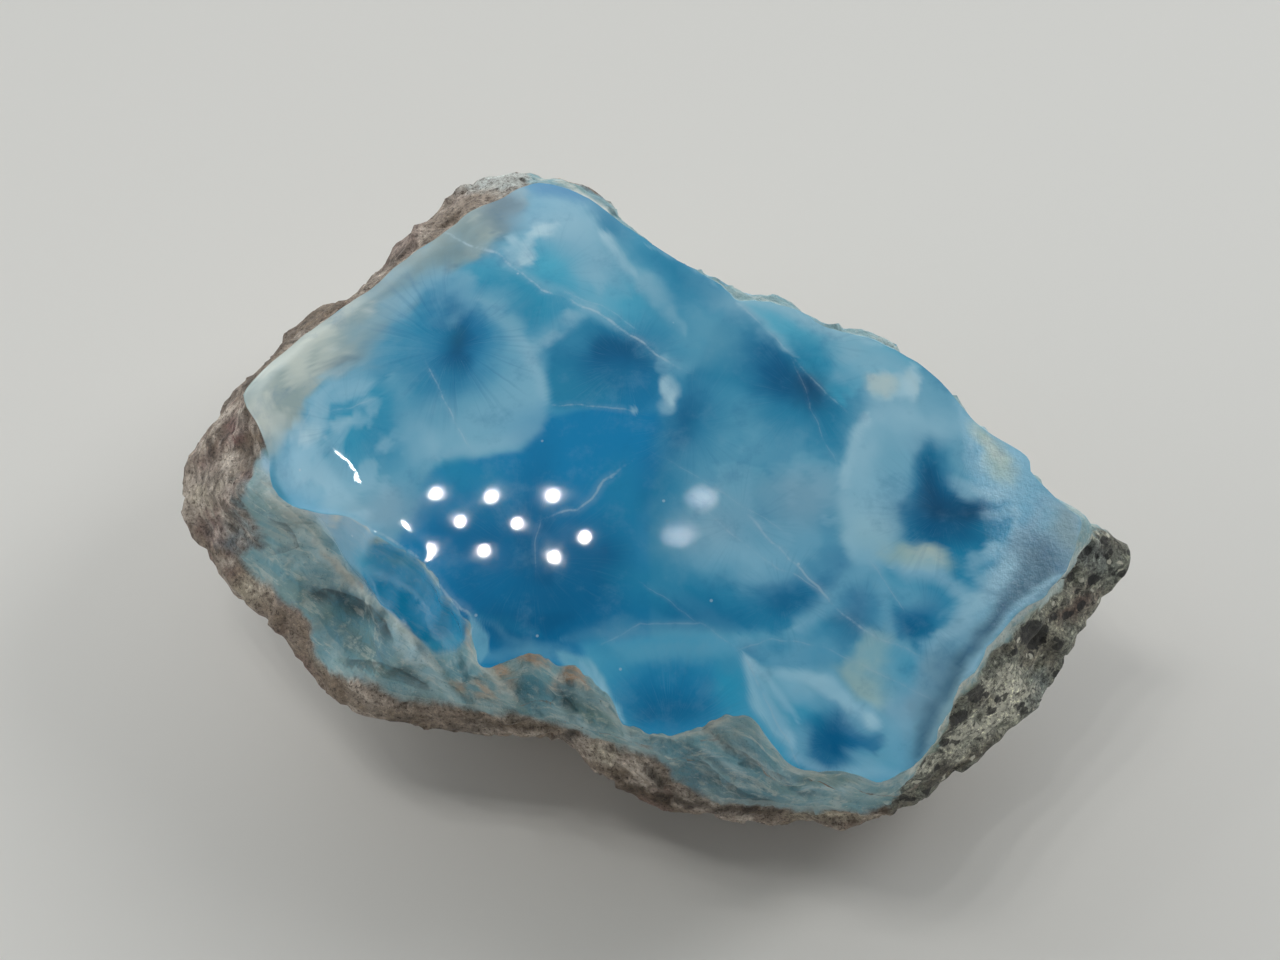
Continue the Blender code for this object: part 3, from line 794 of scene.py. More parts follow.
def paint_middle(paint):
    """The saturated blue middle, with its second and third cells."""
    second_cell = [
        (552, 345), (588, 318), (625, 332), (655, 352), (668, 372), (655, 398), (640, 410), (600, 408),
        (552, 406), (545, 375),
    ]
    paint.area("azure", second_cell, 0.95, soft=5, ragged=4, wispy=1.5)
    depths = [
        ("deep", (610, 360), (46, 28), 15, 0.9), ("ink", (622, 352), (24, 12), 30, 0.7),
        ("ink", (600, 350), (12, 14), 0, 0.4), ("deep", (640, 385), (26, 20), 30, 0.5),
        ("mid", (572, 340), (18, 12), -30, 0.6), ("azure", (566, 380), (16, 20), 0, 0.5),
        ("rich", (600, 432), (66, 24), 0, 0.9), ("rich", (640, 400), (26, 20), 0, 0.5),
        ("azure", (465, 492), (48, 26), 8, 0.6), ("deep", (470, 540), (48, 34), 25, 0.7),
        ("deep", (535, 490), (18, 50), 6, 0.6), ("deep", (545, 540), (50, 44), 0, 0.75),
        ("ink", (570, 585), (74, 54), -4, 0.8), ("ink", (540, 620), (58, 30), 0, 0.7),
        ("deep", (470, 590), (26, 26), 20, 0.5), ("ink", (500, 640), (30, 22), 10, 0.7),
        ("navy", (492, 625), (18, 14), 20, 0.35), ("ink", (606, 555), (22, 40), 0, 0.5),
        ("azure", (628, 498), (38, 34), 0, 0.75), ("deep", (655, 490), (16, 34), 5, 0.5),
        ("azure", (662, 570), (36, 40), 0, 0.6), ("deep", (650, 610), (50, 20), 5, 0.6),
        ("teal", (455, 480), (34, 12), 0, 0.4),
    ]
    paint.blots(depths)
    third_cell = [
        (672, 402), (700, 380), (742, 392), (772, 425), (768, 465), (712, 480), (668, 470), (656, 440),
    ]
    paint.area("mid", third_cell, 0.85, soft=9)
    third_core = [
        ("deep", (686, 428), (24, 40), 14, 0.9), ("ink", (686, 425), (10, 24), 14, 0.4),
        ("azure", (712, 440), (24, 34), 10, 0.7), ("haze", (752, 425), (30, 34), 0, 0.55),
        ("haze", (700, 358), (38, 14), 5, 0.5), ("pale", (676, 368), (16, 8), 0, 0.4),
        ("azure", (742, 370), (20, 16), 0, 0.4),
    ]
    paint.blots(third_core)
    white_spots = [
        ("white", (671, 388), (9, 12), -8, 0.6), ("cloud", (666, 405), (9, 9), 10, 0.55),
        ("pale", (664, 366), (9, 9), 0, 0.6), ("cloud", (633, 407), (4, 3), 0, 0.6),
    ]
    paint.blots(white_spots, soft=0.4, ragged=4, wispy=2)
    bands = [
        ("haze", [(560, 640), (600, 634), (650, 628), (700, 632), (738, 640)], 12, 0.5),
        ("azure", [(470, 612), (500, 624), (545, 632)], 6, 0.4),
        ("haze", [(650, 580), (700, 612), (745, 632)], 5, 0.3),
    ]
    paint.lines(bands)


def paint_upper_right(paint):
    """The bright edge past the notch in the rim, and the dark core below it."""
    bright_edge = [
        (736, 298), (775, 301), (800, 311), (822, 325), (850, 333), (880, 340), (925, 368), (900, 378),
        (868, 380), (850, 400), (818, 380), (795, 352), (768, 326),
    ]
    paint.area("turquoise", bright_edge, 0.95, soft=3)
    core = [
        ("pale", (768, 310), (28, 9), 20, 0.5), ("cloud", (836, 330), (44, 8), 15, 0.85),
        ("teal", (812, 350), (34, 12), 35, 0.9), ("teal", (838, 372), (26, 14), 30, 0.8),
        ("haze", (868, 356), (34, 13), 22, 0.85), ("mid", (858, 384), (22, 16), 30, 0.7),
        ("mid", (905, 366), (22, 9), 35, 0.7), ("pale", (795, 318), (26, 6), 25, 0.6),
        ("azure", (782, 378), (56, 42), 30, 0.9), ("deep", (776, 368), (32, 26), 25, 0.9),
        ("ink", (782, 374), (24, 20), 30, 0.8), ("ink", (812, 398), (16, 30), -25, 0.95),
        ("navy", (808, 394), (10, 22), -28, 0.6), ("azure", (828, 425), (20, 26), -10, 0.7),
        ("azure", (790, 430), (34, 20), 15, 0.7), ("mid", (792, 458), (52, 18), 10, 0.6),
        ("azure", (836, 448), (10, 16), 0, 0.5), ("haze", (850, 420), (10, 20), 10, 0.4),
    ]
    paint.blots(core)
    edge_lines = [
        ("white", [(737, 302), (758, 320), (780, 338), (798, 358)], 4, 0.6),
        ("white", [(738, 299), (775, 303), (800, 313), (824, 327), (850, 335), (884, 344)], 7, 0.8),
        ("turquoise", [(798, 358), (820, 382), (846, 408)], 4, 0.5),
    ]
    paint.lines(edge_lines)


def paint_hazy_middle(paint):
    """The paler stretch right of the middle, where the polish is duller; its pale and lavender clouds are
    partly painted reflection, the lamp's haze on the duller polish.
    """
    fields = [
        ("haze", (752, 470), (66, 30), 0, 0.5), ("haze", (706, 522), (56, 30), -30, 0.45),
        ("haze", (790, 500), (60, 34), 5, 0.5), ("lavender", (800, 500), (40, 26), 5, 0.4),
        ("pale", (720, 536), (44, 14), 28, 0.45), ("pale", (706, 494), (22, 16), 0, 0.35),
        ("mid", (760, 570), (50, 16), 15, 0.6), ("azure", (668, 500), (20, 40), 20, 0.4),
        ("azure", (700, 590), (60, 22), 10, 0.55), ("deep", (795, 592), (44, 20), 5, 0.75),
        ("ink", (792, 600), (22, 10), 0, 0.4), ("deep", (842, 568), (26, 14), 15, 0.85),
        ("deep", (720, 618), (60, 14), 4, 0.5), ("azure", (640, 590), (30, 30), 0, 0.5),
        ("azure", (810, 560), (24, 10), 20, 0.5), ("mid", (760, 640), (30, 8), 0, 0.4),
    ]
    paint.blots(fields)
    hazy_part = [
        (660, 520), (690, 470), (740, 440), (830, 440), (850, 520), (840, 560), (760, 575), (690, 570),
    ]
    paint.mottle("pale", hazy_part, 6.0, 0.35, soft=30)
    paint.mottle("azure", hazy_part, 4.0, 0.35, soft=30)
    cloudy_part = [(770, 470), (850, 460), (890, 520), (850, 560), (790, 550)]
    paint.mottle("cloud", cloudy_part, 2.0, 0.3, soft=20)
    pale_border = [
        (850, 430), (866, 412), (905, 404), (945, 428), (925, 442), (912, 470), (905, 505), (906, 545),
        (880, 572), (856, 566), (838, 520), (838, 480),
    ]
    paint.area("pale", pale_border, 0.85, soft=8)
    border_clouds = [
        ("cloud", (862, 455), (14, 40), 12, 0.7), ("haze", (892, 470), (16, 34), 0, 0.55),
        ("beige", (874, 530), (28, 24), 0, 0.35), ("cloud", (870, 522), (26, 26), 0, 0.7),
        ("cloud", (875, 560), (22, 10), 0, 0.5), ("azure", (905, 545), (8, 14), 0, 0.4),
    ]
    paint.blots(border_clouds)
    border_lines = [
        ("white", [(868, 412), (856, 440), (847, 465), (842, 490)], 6, 0.55),
        ("cloud", [(842, 490), (846, 520), (855, 560)], 7, 0.5),
        ("pale", [(870, 570), (846, 586), (820, 610), (790, 634)], 9, 0.75),
        ("haze", [(790, 634), (760, 640), (730, 648)], 6, 0.6),
    ]
    paint.lines(border_lines)


def paint_right_cells(paint):
    """The navy core at the right with its pale border, the two teal cells below it and the beige patches."""
    far_border = [
        ("pale", (985, 452), (50, 28), 38, 0.8), ("haze", (940, 400), (40, 18), 40, 0.7),
        ("azure", (958, 412), (26, 7), 45, 0.5), ("pale", (930, 425), (30, 14), 20, 0.6),
        ("cloud", (1005, 495), (34, 20), 30, 0.75), ("haze", (1035, 485), (24, 14), 50, 0.7),
        ("mid", (1030, 520), (24, 26), 0, 0.5), ("pale", (900, 375), (50, 20), 30, 0.6),
        ("pale", (965, 425), (46, 22), 42, 0.7), ("cloud", (950, 440), (40, 14), 40, 0.4),
        ("pale", (1010, 470), (30, 16), 45, 0.5),
    ]
    paint.blots(far_border)
    navy_cell = [
        (908, 500), (915, 462), (928, 436), (944, 448), (955, 475), (975, 497), (1005, 503), (1014, 520),
        (988, 542), (965, 570), (940, 556), (916, 548), (906, 525),
    ]
    paint.area("azure", navy_cell, 0.95, soft=7, ragged=6, wispy=4)
    navy_core = [
        ("deep", (942, 512), (36, 34), 0, 0.9), ("ink", (930, 478), (13, 32), -8, 0.85),
        ("navy", (946, 512), (30, 20), 10, 0.95), ("navy", (968, 506), (18, 12), 10, 0.9),
        ("navy", (930, 490), (10, 18), -10, 0.6), ("ink", (945, 535), (28, 12), 0, 0.7),
        ("azure", (962, 560), (16, 16), 40, 0.8), ("azure", (995, 520), (20, 10), -10, 0.6),
        ("haze", (958, 462), (14, 18), -20, 0.8), ("mid", (975, 480), (14, 12), 30, 0.5),
    ]
    paint.blots(navy_core)
    cloudy_border = [
        ("cloud", (962, 485), (16, 9), 30, 0.8), ("cloud", (985, 490), (16, 7), 20, 0.7),
        ("cloud", (1000, 512), (22, 5), 5, 0.6), ("white", (1016, 530), (5, 18), -8, 0.6),
        ("cloud", (990, 552), (22, 9), -25, 0.8), ("cloud", (940, 440), (10, 12), 0, 0.5),
        ("beige", (986, 446), (26, 9), 42, 0.9), ("beige", (1000, 466), (18, 12), 40, 0.8),
        ("milk", (992, 452), (12, 5), 42, 0.4), ("beige", (922, 556), (30, 10), 8, 0.8),
        ("milk", (928, 554), (16, 5), 8, 0.3), ("beige", (900, 560), (18, 7), 0, 0.5),
    ]
    paint.blots(cloudy_border, soft=0.6, ragged=6, wispy=4, grain=0.2)
    white_patch = [
        (866, 378), (885, 370), (902, 378), (914, 366), (922, 380), (923, 398), (912, 406), (898, 398),
        (880, 400), (868, 392),
    ]
    paint.area("cloud", white_patch, 0.9, soft=2, ragged=6, wispy=4)
    patch_tints = [
        ("beige", (882, 386), (16, 11), 8, 0.7), ("milk", (912, 388), (8, 13), -15, 0.45),
        ("milk", (884, 378), (10, 4), 0, 0.35),
    ]
    paint.blots(patch_tints, soft=0.6)
    teal_cells = [
        ("mid", (900, 600), (60, 30), 20, 0.7), ("azure", (920, 612), (34, 30), 0, 0.9),
        ("deep", (912, 622), (26, 22), 0, 0.9), ("ink", (920, 634), (18, 12), 10, 0.6),
        ("teal", (895, 592), (20, 16), 0, 0.5), ("azure", (860, 604), (20, 24), 0, 0.9),
        ("deep", (858, 612), (14, 22), 15, 0.8), ("ink", (850, 632), (20, 16), 0, 0.8),
        ("azure", (825, 636), (26, 10), -10, 0.7), ("azure", (860, 655), (20, 10), 30, 0.6),
        ("pale", (884, 612), (7, 34), -8, 0.5), ("teal", (905, 660), (40, 12), 20, 0.5),
        ("pale", (895, 590), (40, 12), 20, 0.4), ("azure", (935, 645), (16, 10), 10, 0.6),
        ("mid", (900, 685), (20, 14), 30, 0.5),
    ]
    paint.blots(teal_cells)
    cell_borders = [
        ("cloud", [(890, 566), (935, 570), (968, 596)], 9, 0.65),
        ("cloud", [(862, 630), (890, 642), (920, 655), (940, 680)], 4, 0.35),
    ]
    paint.lines(cell_borders)
    beige_patches = [
        ("beige", (876, 648), (14, 16), 30, 0.75), ("beige", (866, 680), (26, 20), 20, 0.85),
        ("beige", (876, 700), (14, 14), 40, 0.7), ("beige", (840, 665), (20, 8), 0, 0.4),
        ("cloud", (876, 716), (12, 6), 20, 0.8),
    ]
    paint.blots(beige_patches, soft=0.7, wispy=4, grain=0.15)


def paint_right_edge(paint):
    """Lavender clouds and the dark line that runs along the basalt, with the white seam outside it."""
    lavender_strip = [
        (1040, 492), (1085, 516), (1085, 572), (1045, 600), (1012, 615), (988, 650), (955, 705), (925, 770),
        (895, 775), (905, 700), (925, 660), (960, 610), (985, 580), (1010, 545),
    ]
    paint.area("lavender", lavender_strip, 0.85, soft=8)
    shades = [
        ("slate", (1042, 560), (24, 28), 40, 0.85), ("slate", (1048, 578), (22, 14), -38, 0.8),
        ("slate", (1015, 590), (24, 10), -35, 0.6), ("smoke", (1072, 532), (14, 26), -30, 0.9),
        ("haze", (1045, 515), (12, 16), -30, 0.6), ("pale", (980, 610), (20, 20), -40, 0.7),
        ("haze", (955, 645), (16, 22), 30, 0.6), ("lavender", (905, 735), (20, 34), 10, 0.7),
        ("azure", (900, 755), (18, 14), 0, 0.4), ("slate", (948, 668), (18, 14), -50, 0.5),
        ("slate", (922, 728), (14, 40), 12, 0.75), ("slate", (1000, 612), (26, 8), -44, 0.5),
    ]
    paint.blots(shades)
    clouds = [
        ("cloud", (995, 575), (24, 12), -20, 0.75), ("cloud", (970, 605), (20, 10), -30, 0.7),
        ("cloud", (1010, 560), (14, 8), 0, 0.5), ("cloud", (960, 628), (16, 7), -30, 0.5),
        ("cloud", (940, 640), (14, 7), -10, 0.4), ("cloud", (905, 710), (16, 8), 60, 0.4),
        ("cloud", (985, 545), (16, 6), -30, 0.6),
    ]
    paint.blots(clouds, soft=0.5, ragged=6, wispy=6, grain=0.5)
    seam_lines = [
        ("cloud", [(1066, 574), (1036, 594), (1010, 616), (988, 644), (968, 672), (950, 702), (934, 734),
                   (912, 772)], 4, 0.8),
        ("slate", [(1050, 572), (1022, 592), (1000, 610), (985, 634), (966, 652), (955, 676), (938, 698),
                   (926, 726), (914, 765)], 7, 0.9),
        ("navy", [(1008, 600), (990, 626), (970, 646), (958, 668)], 3, 0.45),
        ("navy", [(938, 698), (927, 722), (918, 752)], 3, 0.5),
        ("smoke", [(1078, 572), (1050, 596), (1020, 616), (998, 640), (978, 668), (958, 700), (940, 735),
                   (920, 772)], 3, 0.5),
    ]
    paint.lines(seam_lines)


def paint_bottom_cells(paint):
    """The lens and the last core at the front edge, under the pale bands."""
    lens = [
        (580, 645), (640, 636), (735, 640), (742, 655), (738, 700), (720, 722), (660, 734), (624, 722),
        (600, 690),
    ]
    paint.area("mid", lens, 0.9, soft=6, ragged=3)
    lens_core = [
        ("azure", (675, 685), (56, 30), 0, 0.9), ("rich", (672, 694), (46, 28), 0, 0.7),
        ("deep", (668, 702), (38, 26), 0, 0.9), ("ink", (665, 712), (34, 18), 0, 0.6),
        ("rich", (668, 728), (36, 8), 0, 0.4), ("teal", (725, 690), (14, 26), 0, 0.8),
        ("azure", (728, 664), (12, 8), -30, 0.5), ("haze", (665, 652), (54, 9), 0, 0.4),
        ("azure", (600, 648), (20, 8), 20, 0.5),
    ]
    paint.blots(lens_core)
    lens_rim = [
        (556, 652), (590, 658), (606, 678), (620, 705), (625, 722), (606, 710), (585, 690), (565, 668),
    ]
    paint.area("haze", lens_rim, 0.95, soft=3, ragged=2)
    lens_rim_lines = [
        ("cloud", [(580, 662), (598, 684), (612, 704), (622, 718)], 5, 0.7),
        ("cloud", [(590, 662), (606, 682), (620, 712)], 2.5, 0.6),
        ("mid", [(570, 658), (584, 672), (600, 694)], 4, 0.6),
    ]
    paint.lines(lens_rim_lines)
    strip_between = [(738, 650), (760, 640), (800, 640), (850, 655), (838, 668), (790, 668), (755, 672)]
    paint.area("azure", strip_between, 0.8, soft=6)
    last_cell = [
        (742, 658), (770, 668), (830, 672), (870, 700), (900, 716), (905, 770), (860, 778), (800, 762),
        (770, 735), (748, 705),
    ]
    paint.area("haze", last_cell, 0.9, soft=6)
    last_core = [
        ("azure", (772, 655), (30, 9), -4, 0.7), ("deep", (748, 652), (8, 5), -30, 0.4),
        ("azure", (830, 728), (38, 34), 0, 0.9), ("deep", (834, 738), (26, 28), 0, 0.95),
        ("ink", (832, 748), (20, 20), 0, 0.9), ("ink", (836, 728), (16, 12), 0, 0.5),
        ("teal", (812, 712), (22, 16), 0, 0.7), ("mid", (790, 700), (18, 22), -30, 0.6),
        ("haze", (892, 750), (18, 18), 0, 0.7), ("mid", (880, 772), (20, 8), 0, 0.6),
    ]
    paint.blots(last_core)
    dark_notch = [(850, 728), (868, 735), (884, 730), (887, 739), (876, 754), (862, 746), (850, 752)]
    paint.area("deep", dark_notch, 0.7, soft=3, ragged=3, wispy=2)
    pale_bands = [
        ("cloud", (800, 676), (30, 6), 10, 0.6), ("cloud", (838, 694), (34, 8), 32, 0.75),
        ("pale", (800, 694), (26, 10), 40, 0.5), ("white", (874, 720), (11, 7), 30, 0.7),
        ("pale", (904, 735), (16, 26), 10, 0.6), ("pale", (872, 764), (26, 6), 25, 0.5),
        ("pale", (800, 742), (13, 16), 20, 0.5), ("lavender", (905, 700), (16, 22), 20, 0.4),
    ]
    paint.blots(pale_bands, soft=0.5, ragged=4, wispy=3)
    last_border = [
        ("cloud", [(742, 656), (752, 682), (770, 712), (795, 750)], 6, 0.75),
        ("cloud", [(744, 660), (762, 674), (784, 700), (800, 728)], 3, 0.5),
        ("mid", [(748, 672), (764, 702), (786, 736)], 4, 0.5),
        ("cloud", [(748, 690), (752, 706), (760, 716)], 4, 0.5),
    ]
    paint.lines(last_border)


def paint_left_wall(paint):
    """Pale green-blue below the left end of the face, with painted shade in the hollow under the scoop."""
    upper_wall = [
        ("foam", (262, 486), (14, 14), 20, 0.8), ("sand", (288, 506), (26, 11), 40, 0.6),
        ("sand", (316, 528), (22, 8), 45, 0.5), ("mist", (322, 510), (26, 12), 42, 0.6),
        ("sky", (345, 548), (16, 30), -30, 0.8), ("mist", (335, 530), (12, 12), 30, 0.6),
        ("moss", (262, 512), (10, 14), 0, 0.5), ("foam", (284, 536), (18, 10), 40, 0.6),
        ("sand", (284, 536), (14, 9), 40, 0.35), ("sea", (276, 554), (16, 10), 0, 0.5),
        ("mist", (322, 556), (24, 9), 48, 0.6), ("mist", (350, 588), (16, 7), 40, 0.5),
        ("mist", (274, 490), (18, 12), 40, 0.5), ("mist", (304, 512), (26, 8), 38, 0.4),
        ("foam", (304, 572), (30, 10), 35, 0.6), ("stream", (282, 578), (18, 4), 35, 0.5),
        ("moss", (300, 600), (30, 10), 40, 0.5), ("moss", (350, 628), (40, 24), 35, 0.7),
    ]
    paint.blots(upper_wall)
    # Mostly painted shade: dark strokes that shade the hollow under the scoop, with paler strokes along its
    # rims
    hollow = [
        ("shade", (338, 598), (26, 9), 20, 0.8), ("shade", (366, 612), (24, 11), 38, 0.85),
        ("crevice_shade", (319, 594), (9, 5), 20, 0.7), ("crevice_shade", (340, 590), (16, 3), 20, 0.5),
        ("crevice_shade", (352, 606), (12, 3), 25, 0.45), ("stream", (352, 618), (22, 7), 25, 0.6),
        ("shade", (362, 642), (26, 9), 30, 0.6), ("stream", (388, 640), (16, 12), 40, 0.6),
        ("stream", (326, 640), (16, 20), 24, 0.6), ("foam", (340, 655), (26, 6), 15, 0.6),
        ("mist", (405, 640), (9, 30), -42, 0.75), ("mist", (424, 662), (10, 16), -38, 0.6),
        ("moss", (378, 664), (32, 6), 14, 0.8), ("shade", (398, 668), (24, 5), 30, 0.6),
        ("shade", (418, 684), (18, 4), 42, 0.6), ("foam", (372, 676), (36, 4), 18, 0.6),
        ("foam", (410, 690), (26, 3), 22, 0.5), ("mist", (436, 684), (12, 5), 40, 0.5),
    ]
    paint.blots(hollow, soft=0.6, grain=0.2)


def paint_middle_wall(paint):
    """The low wall between the scoop and the lens at the front edge."""
    # The shade strokes are painted shade under its steps
    low_wall = [
        ("sky", (455, 660), (24, 8), -15, 0.6), ("stream", (462, 676), (22, 10), 25, 0.7),
        ("foam", (440, 694), (26, 5), 18, 0.7), ("sand", (455, 688), (10, 4), 30, 0.6),
        ("mist", (452, 664), (14, 3), -28, 0.5), ("mist", (470, 668), (12, 3), -40, 0.4),
        ("sand", (484, 688), (12, 5), 25, 0.6), ("foam", (500, 702), (36, 4), 12, 0.6),
        ("stream", (534, 690), (20, 13), 30, 0.9), ("shade", (528, 698), (12, 6), 30, 0.4),
        ("sand", (508, 676), (12, 12), 40, 0.6), ("foam", (520, 664), (18, 7), 20, 0.5),
        ("sky", (552, 672), (14, 12), 40, 0.5), ("moss", (520, 706), (20, 5), 20, 0.6),
        ("shade", (566, 696), (10, 14), 20, 0.75), ("moss", (590, 716), (28, 8), 22, 0.8),
        ("foam", (572, 712), (14, 2), 40, 0.6), ("mist", (582, 722), (12, 2), 30, 0.5),
        ("moss", (610, 737), (14, 5), 0, 0.7), ("foam", (552, 714), (16, 3), 16, 0.6),
        ("stream", (560, 702), (8, 8), 0, 0.4),
    ]
    paint.blots(low_wall, soft=0.6, grain=0.25)


def paint_right_wall(paint):
    """The stepped wall below the last core, with shade under its ledges."""
    ledges = [
        ("foam", (640, 740), (30, 7), 10, 0.6), ("moss", (638, 730), (20, 3), 5, 0.5),
        ("sky", (684, 740), (24, 8), 20, 0.6), ("foam", (735, 736), (26, 8), 38, 0.7),
        ("sand", (738, 730), (8, 6), 0, 0.4), ("sky", (762, 752), (30, 7), 42, 0.7),
        ("sky", (725, 756), (30, 6), 36, 0.6), ("stream", (700, 760), (22, 8), 30, 0.6),
        ("shade", (698, 776), (24, 9), 20, 0.9), ("crevice_shade", (690, 790), (8, 4), 0, 0.5),
        ("foam", (718, 768), (26, 4), 30, 0.6), ("stream", (752, 776), (30, 5), 34, 0.6),
        ("moss", (780, 790), (28, 5), 20, 0.7), ("shade", (806, 796), (10, 3), 10, 0.6),
        ("stream", (752, 790), (26, 7), 16, 0.6), ("shade", (752, 792), (18, 3), 10, 0.5),
        ("foam", (780, 764), (26, 4), 40, 0.6), ("moss", (822, 772), (20, 9), 0, 0.5),
        ("foam", (848, 786), (36, 9), 4, 0.6), ("chalk", (876, 782), (22, 6), 0, 0.4),
        ("foam", (812, 802), (28, 5), 8, 0.6), ("sky", (850, 803), (26, 4), 0, 0.4),
        ("moss", (890, 796), (20, 5), -10, 0.4), ("sand", (700, 800), (30, 4), 10, 0.6),
    ]
    paint.blots(ledges, soft=0.6, grain=0.2)
    # Painted shade under the ledges and along the bottom edge, between thin pale ledge edges
    under_ledges = [
        ("shade", (742, 776), (40, 3), 30, 0.7), ("shade", (700, 752), (30, 3), 36, 0.6),
        ("shade", (778, 776), (26, 3), 36, 0.7), ("stream", (664, 744), (26, 6), 30, 0.7),
        ("shade", (700, 768), (20, 6), 24, 0.6), ("mist", (716, 742), (26, 3), 36, 0.6),
        ("mist", (760, 764), (30, 2.5), 38, 0.6), ("mist", (728, 764), (24, 2.5), 34, 0.5),
        ("shade", (800, 792), (20, 3), 14, 0.7), ("moss", (836, 778), (22, 4), 10, 0.7),
        ("mist", (826, 788), (26, 3), 6, 0.5), ("shade", (642, 738), (24, 3), 10, 0.5),
        ("soil", (712, 801), (28, 5), 6, 0.7), ("shade", (736, 797), (30, 5), 8, 0.6),
        ("soil", (690, 788), (10, 7), 40, 0.6),
    ]
    paint.blots(under_ledges, soft=0.4, ragged=4, wispy=4, grain=0.2)


def paint_wall_edges(paint):
    """Rusty chips and chalky edges of the wall, painted shade in its gaps and under its ledges, a painted
    highlight along the top rim, and the white seam along the basalt.
    """
    rusty_chips = [
        ("rust", (535, 657), (18, 6), 20, 0.9), ("rust", (500, 668), (6, 12), -40, 0.8),
        ("rust", (574, 674), (12, 8), -10, 0.95), ("rust", (584, 682), (8, 5), 30, 0.6),
        ("rust", (508, 686), (8, 8), 0, 0.5), ("rust", (556, 684), (10, 5), -30, 0.5),
        ("rust", (466, 638), (5, 14), -20, 0.9), ("rust", (740, 711), (13, 4), 5, 0.9),
        ("rust", (712, 722), (10, 3), -28, 0.5), ("rust", (622, 718), (5, 4), 0, 0.7),
        ("rust", (484, 690), (12, 4), 20, 0.5), ("rust", (455, 686), (8, 3), 30, 0.4),
    ]
    paint.blots(rusty_chips, soft=0.5, ragged=4, wispy=4, grain=0.3)
    # The shade and dark gap lines are painted shade under ledges and in cracks
    edges = [
        ("chalk", [(300, 520), (330, 556), (352, 580), (386, 608), (420, 642)], 3, 0.7),
        ("rust", [(318, 548), (345, 576), (366, 592)], 1.5, 0.6),
        ("chalk", [(466, 646), (480, 660), (494, 674), (506, 688), (520, 700)], 3, 0.6),
        ("chalk", [(700, 728), (725, 744), (752, 762), (790, 780)], 2.5, 0.6),
        ("shade", [(706, 724), (735, 745), (760, 765)], 1.5, 0.5),
        ("chalk", [(690, 764), (720, 776), (760, 792)], 2, 0.5),
        ("shade", [(720, 780), (750, 796), (790, 802)], 2, 0.5),
        ("crevice_shade", [(270, 522), (284, 524), (292, 534), (298, 548)], 1.2, 0.7),
        ("crevice_shade", [(400, 660), (414, 672), (430, 692)], 1.5, 0.6),
        ("crevice_shade", [(344, 658), (372, 660), (396, 668)], 1.2, 0.5),
        ("shade", [(560, 684), (566, 700), (578, 712)], 2, 0.6),
        ("chalk", [(640, 731), (662, 736), (690, 733), (712, 724), (730, 714)], 1.5, 0.7),
        ("chalk", [(752, 718), (768, 738), (790, 764), (815, 770), (840, 774)], 1.5, 0.5),
        # Painted highlight: the glint along the polished top rim, in the chalk colour
        ("chalk", [(540, 180), (566, 186), (588, 200), (608, 212)], 2.5, 0.8),
        ("chalk", [(1086, 544), (1056, 590), (1028, 608), (1000, 634), (978, 660), (956, 696), (940, 726),
                   (924, 752), (904, 776)], 10, 0.95),
        ("lichen", [(1086, 566), (1062, 600), (1036, 616), (1012, 642), (990, 662), (972, 690), (952, 722),
                    (938, 748), (914, 774)], 4.5, 0.9),
    ]
    paint.lines(edges)


def paint_broken_wall(paint):
    """The unpolished larimar along the front."""
    paint.fill("sea")
    paint_left_wall(paint)
    paint_middle_wall(paint)
    paint_right_wall(paint)
    paint_wall_edges(paint)


def paint_scoop(paint):
    """The smooth places under the left edge of the face: the pale strip, and the teal hollow beside it."""
    paint.area("pale", LIP, 0.97, soft=4, ragged=3, wispy=1)
    strip_clouds = [
        ("white", (300, 494), (40, 9), 32, 0.6), ("haze", (348, 552), (12, 26), -24, 0.7),
        ("white", (322, 514), (20, 10), 40, 0.6), ("cloud", (352, 520), (20, 8), 24, 0.5),
    ]
    paint.blots(strip_clouds)
    strip_edges = [
        ("chalk", [(324, 494), (338, 505), (341, 518), (331, 531)], 1.6, 0.7),
        ("chalk", [(346, 512), (362, 522), (378, 532)], 1.6, 0.6),
    ]
    paint.lines(strip_edges)
    paint.area("pool", SCOOP, 0.97, soft=2.5, ragged=3, wispy=1)
    hollow_tints = [
        ("pool_light", (368, 558), (12, 16), -20, 0.7), ("pool_light", (442, 646), (22, 8), -10, 0.75),
        ("pool", (425, 600), (26, 20), 40, 0.6), ("foam", (442, 655), (18, 3), -8, 0.6),
        ("stream", (404, 560), (18, 3), 20, 0.5),
    ]
    paint.blots(hollow_tints)


def paint_plain_rind(paint):
    """The ground of the rind, which is all that its hidden sides have."""
    paint.fill("rind")
    paint.lay_on("bark", 0.7 * ramp(paint.grain(6.0), -0.1, 0.5))
    paint.lay_on("crust", 0.5 * ramp(paint.grain(4.0), 0.1, 0.6))
    paint.lay_on("maroon", 0.4 * ramp(paint.grain(5.0), 0.2, 0.6))


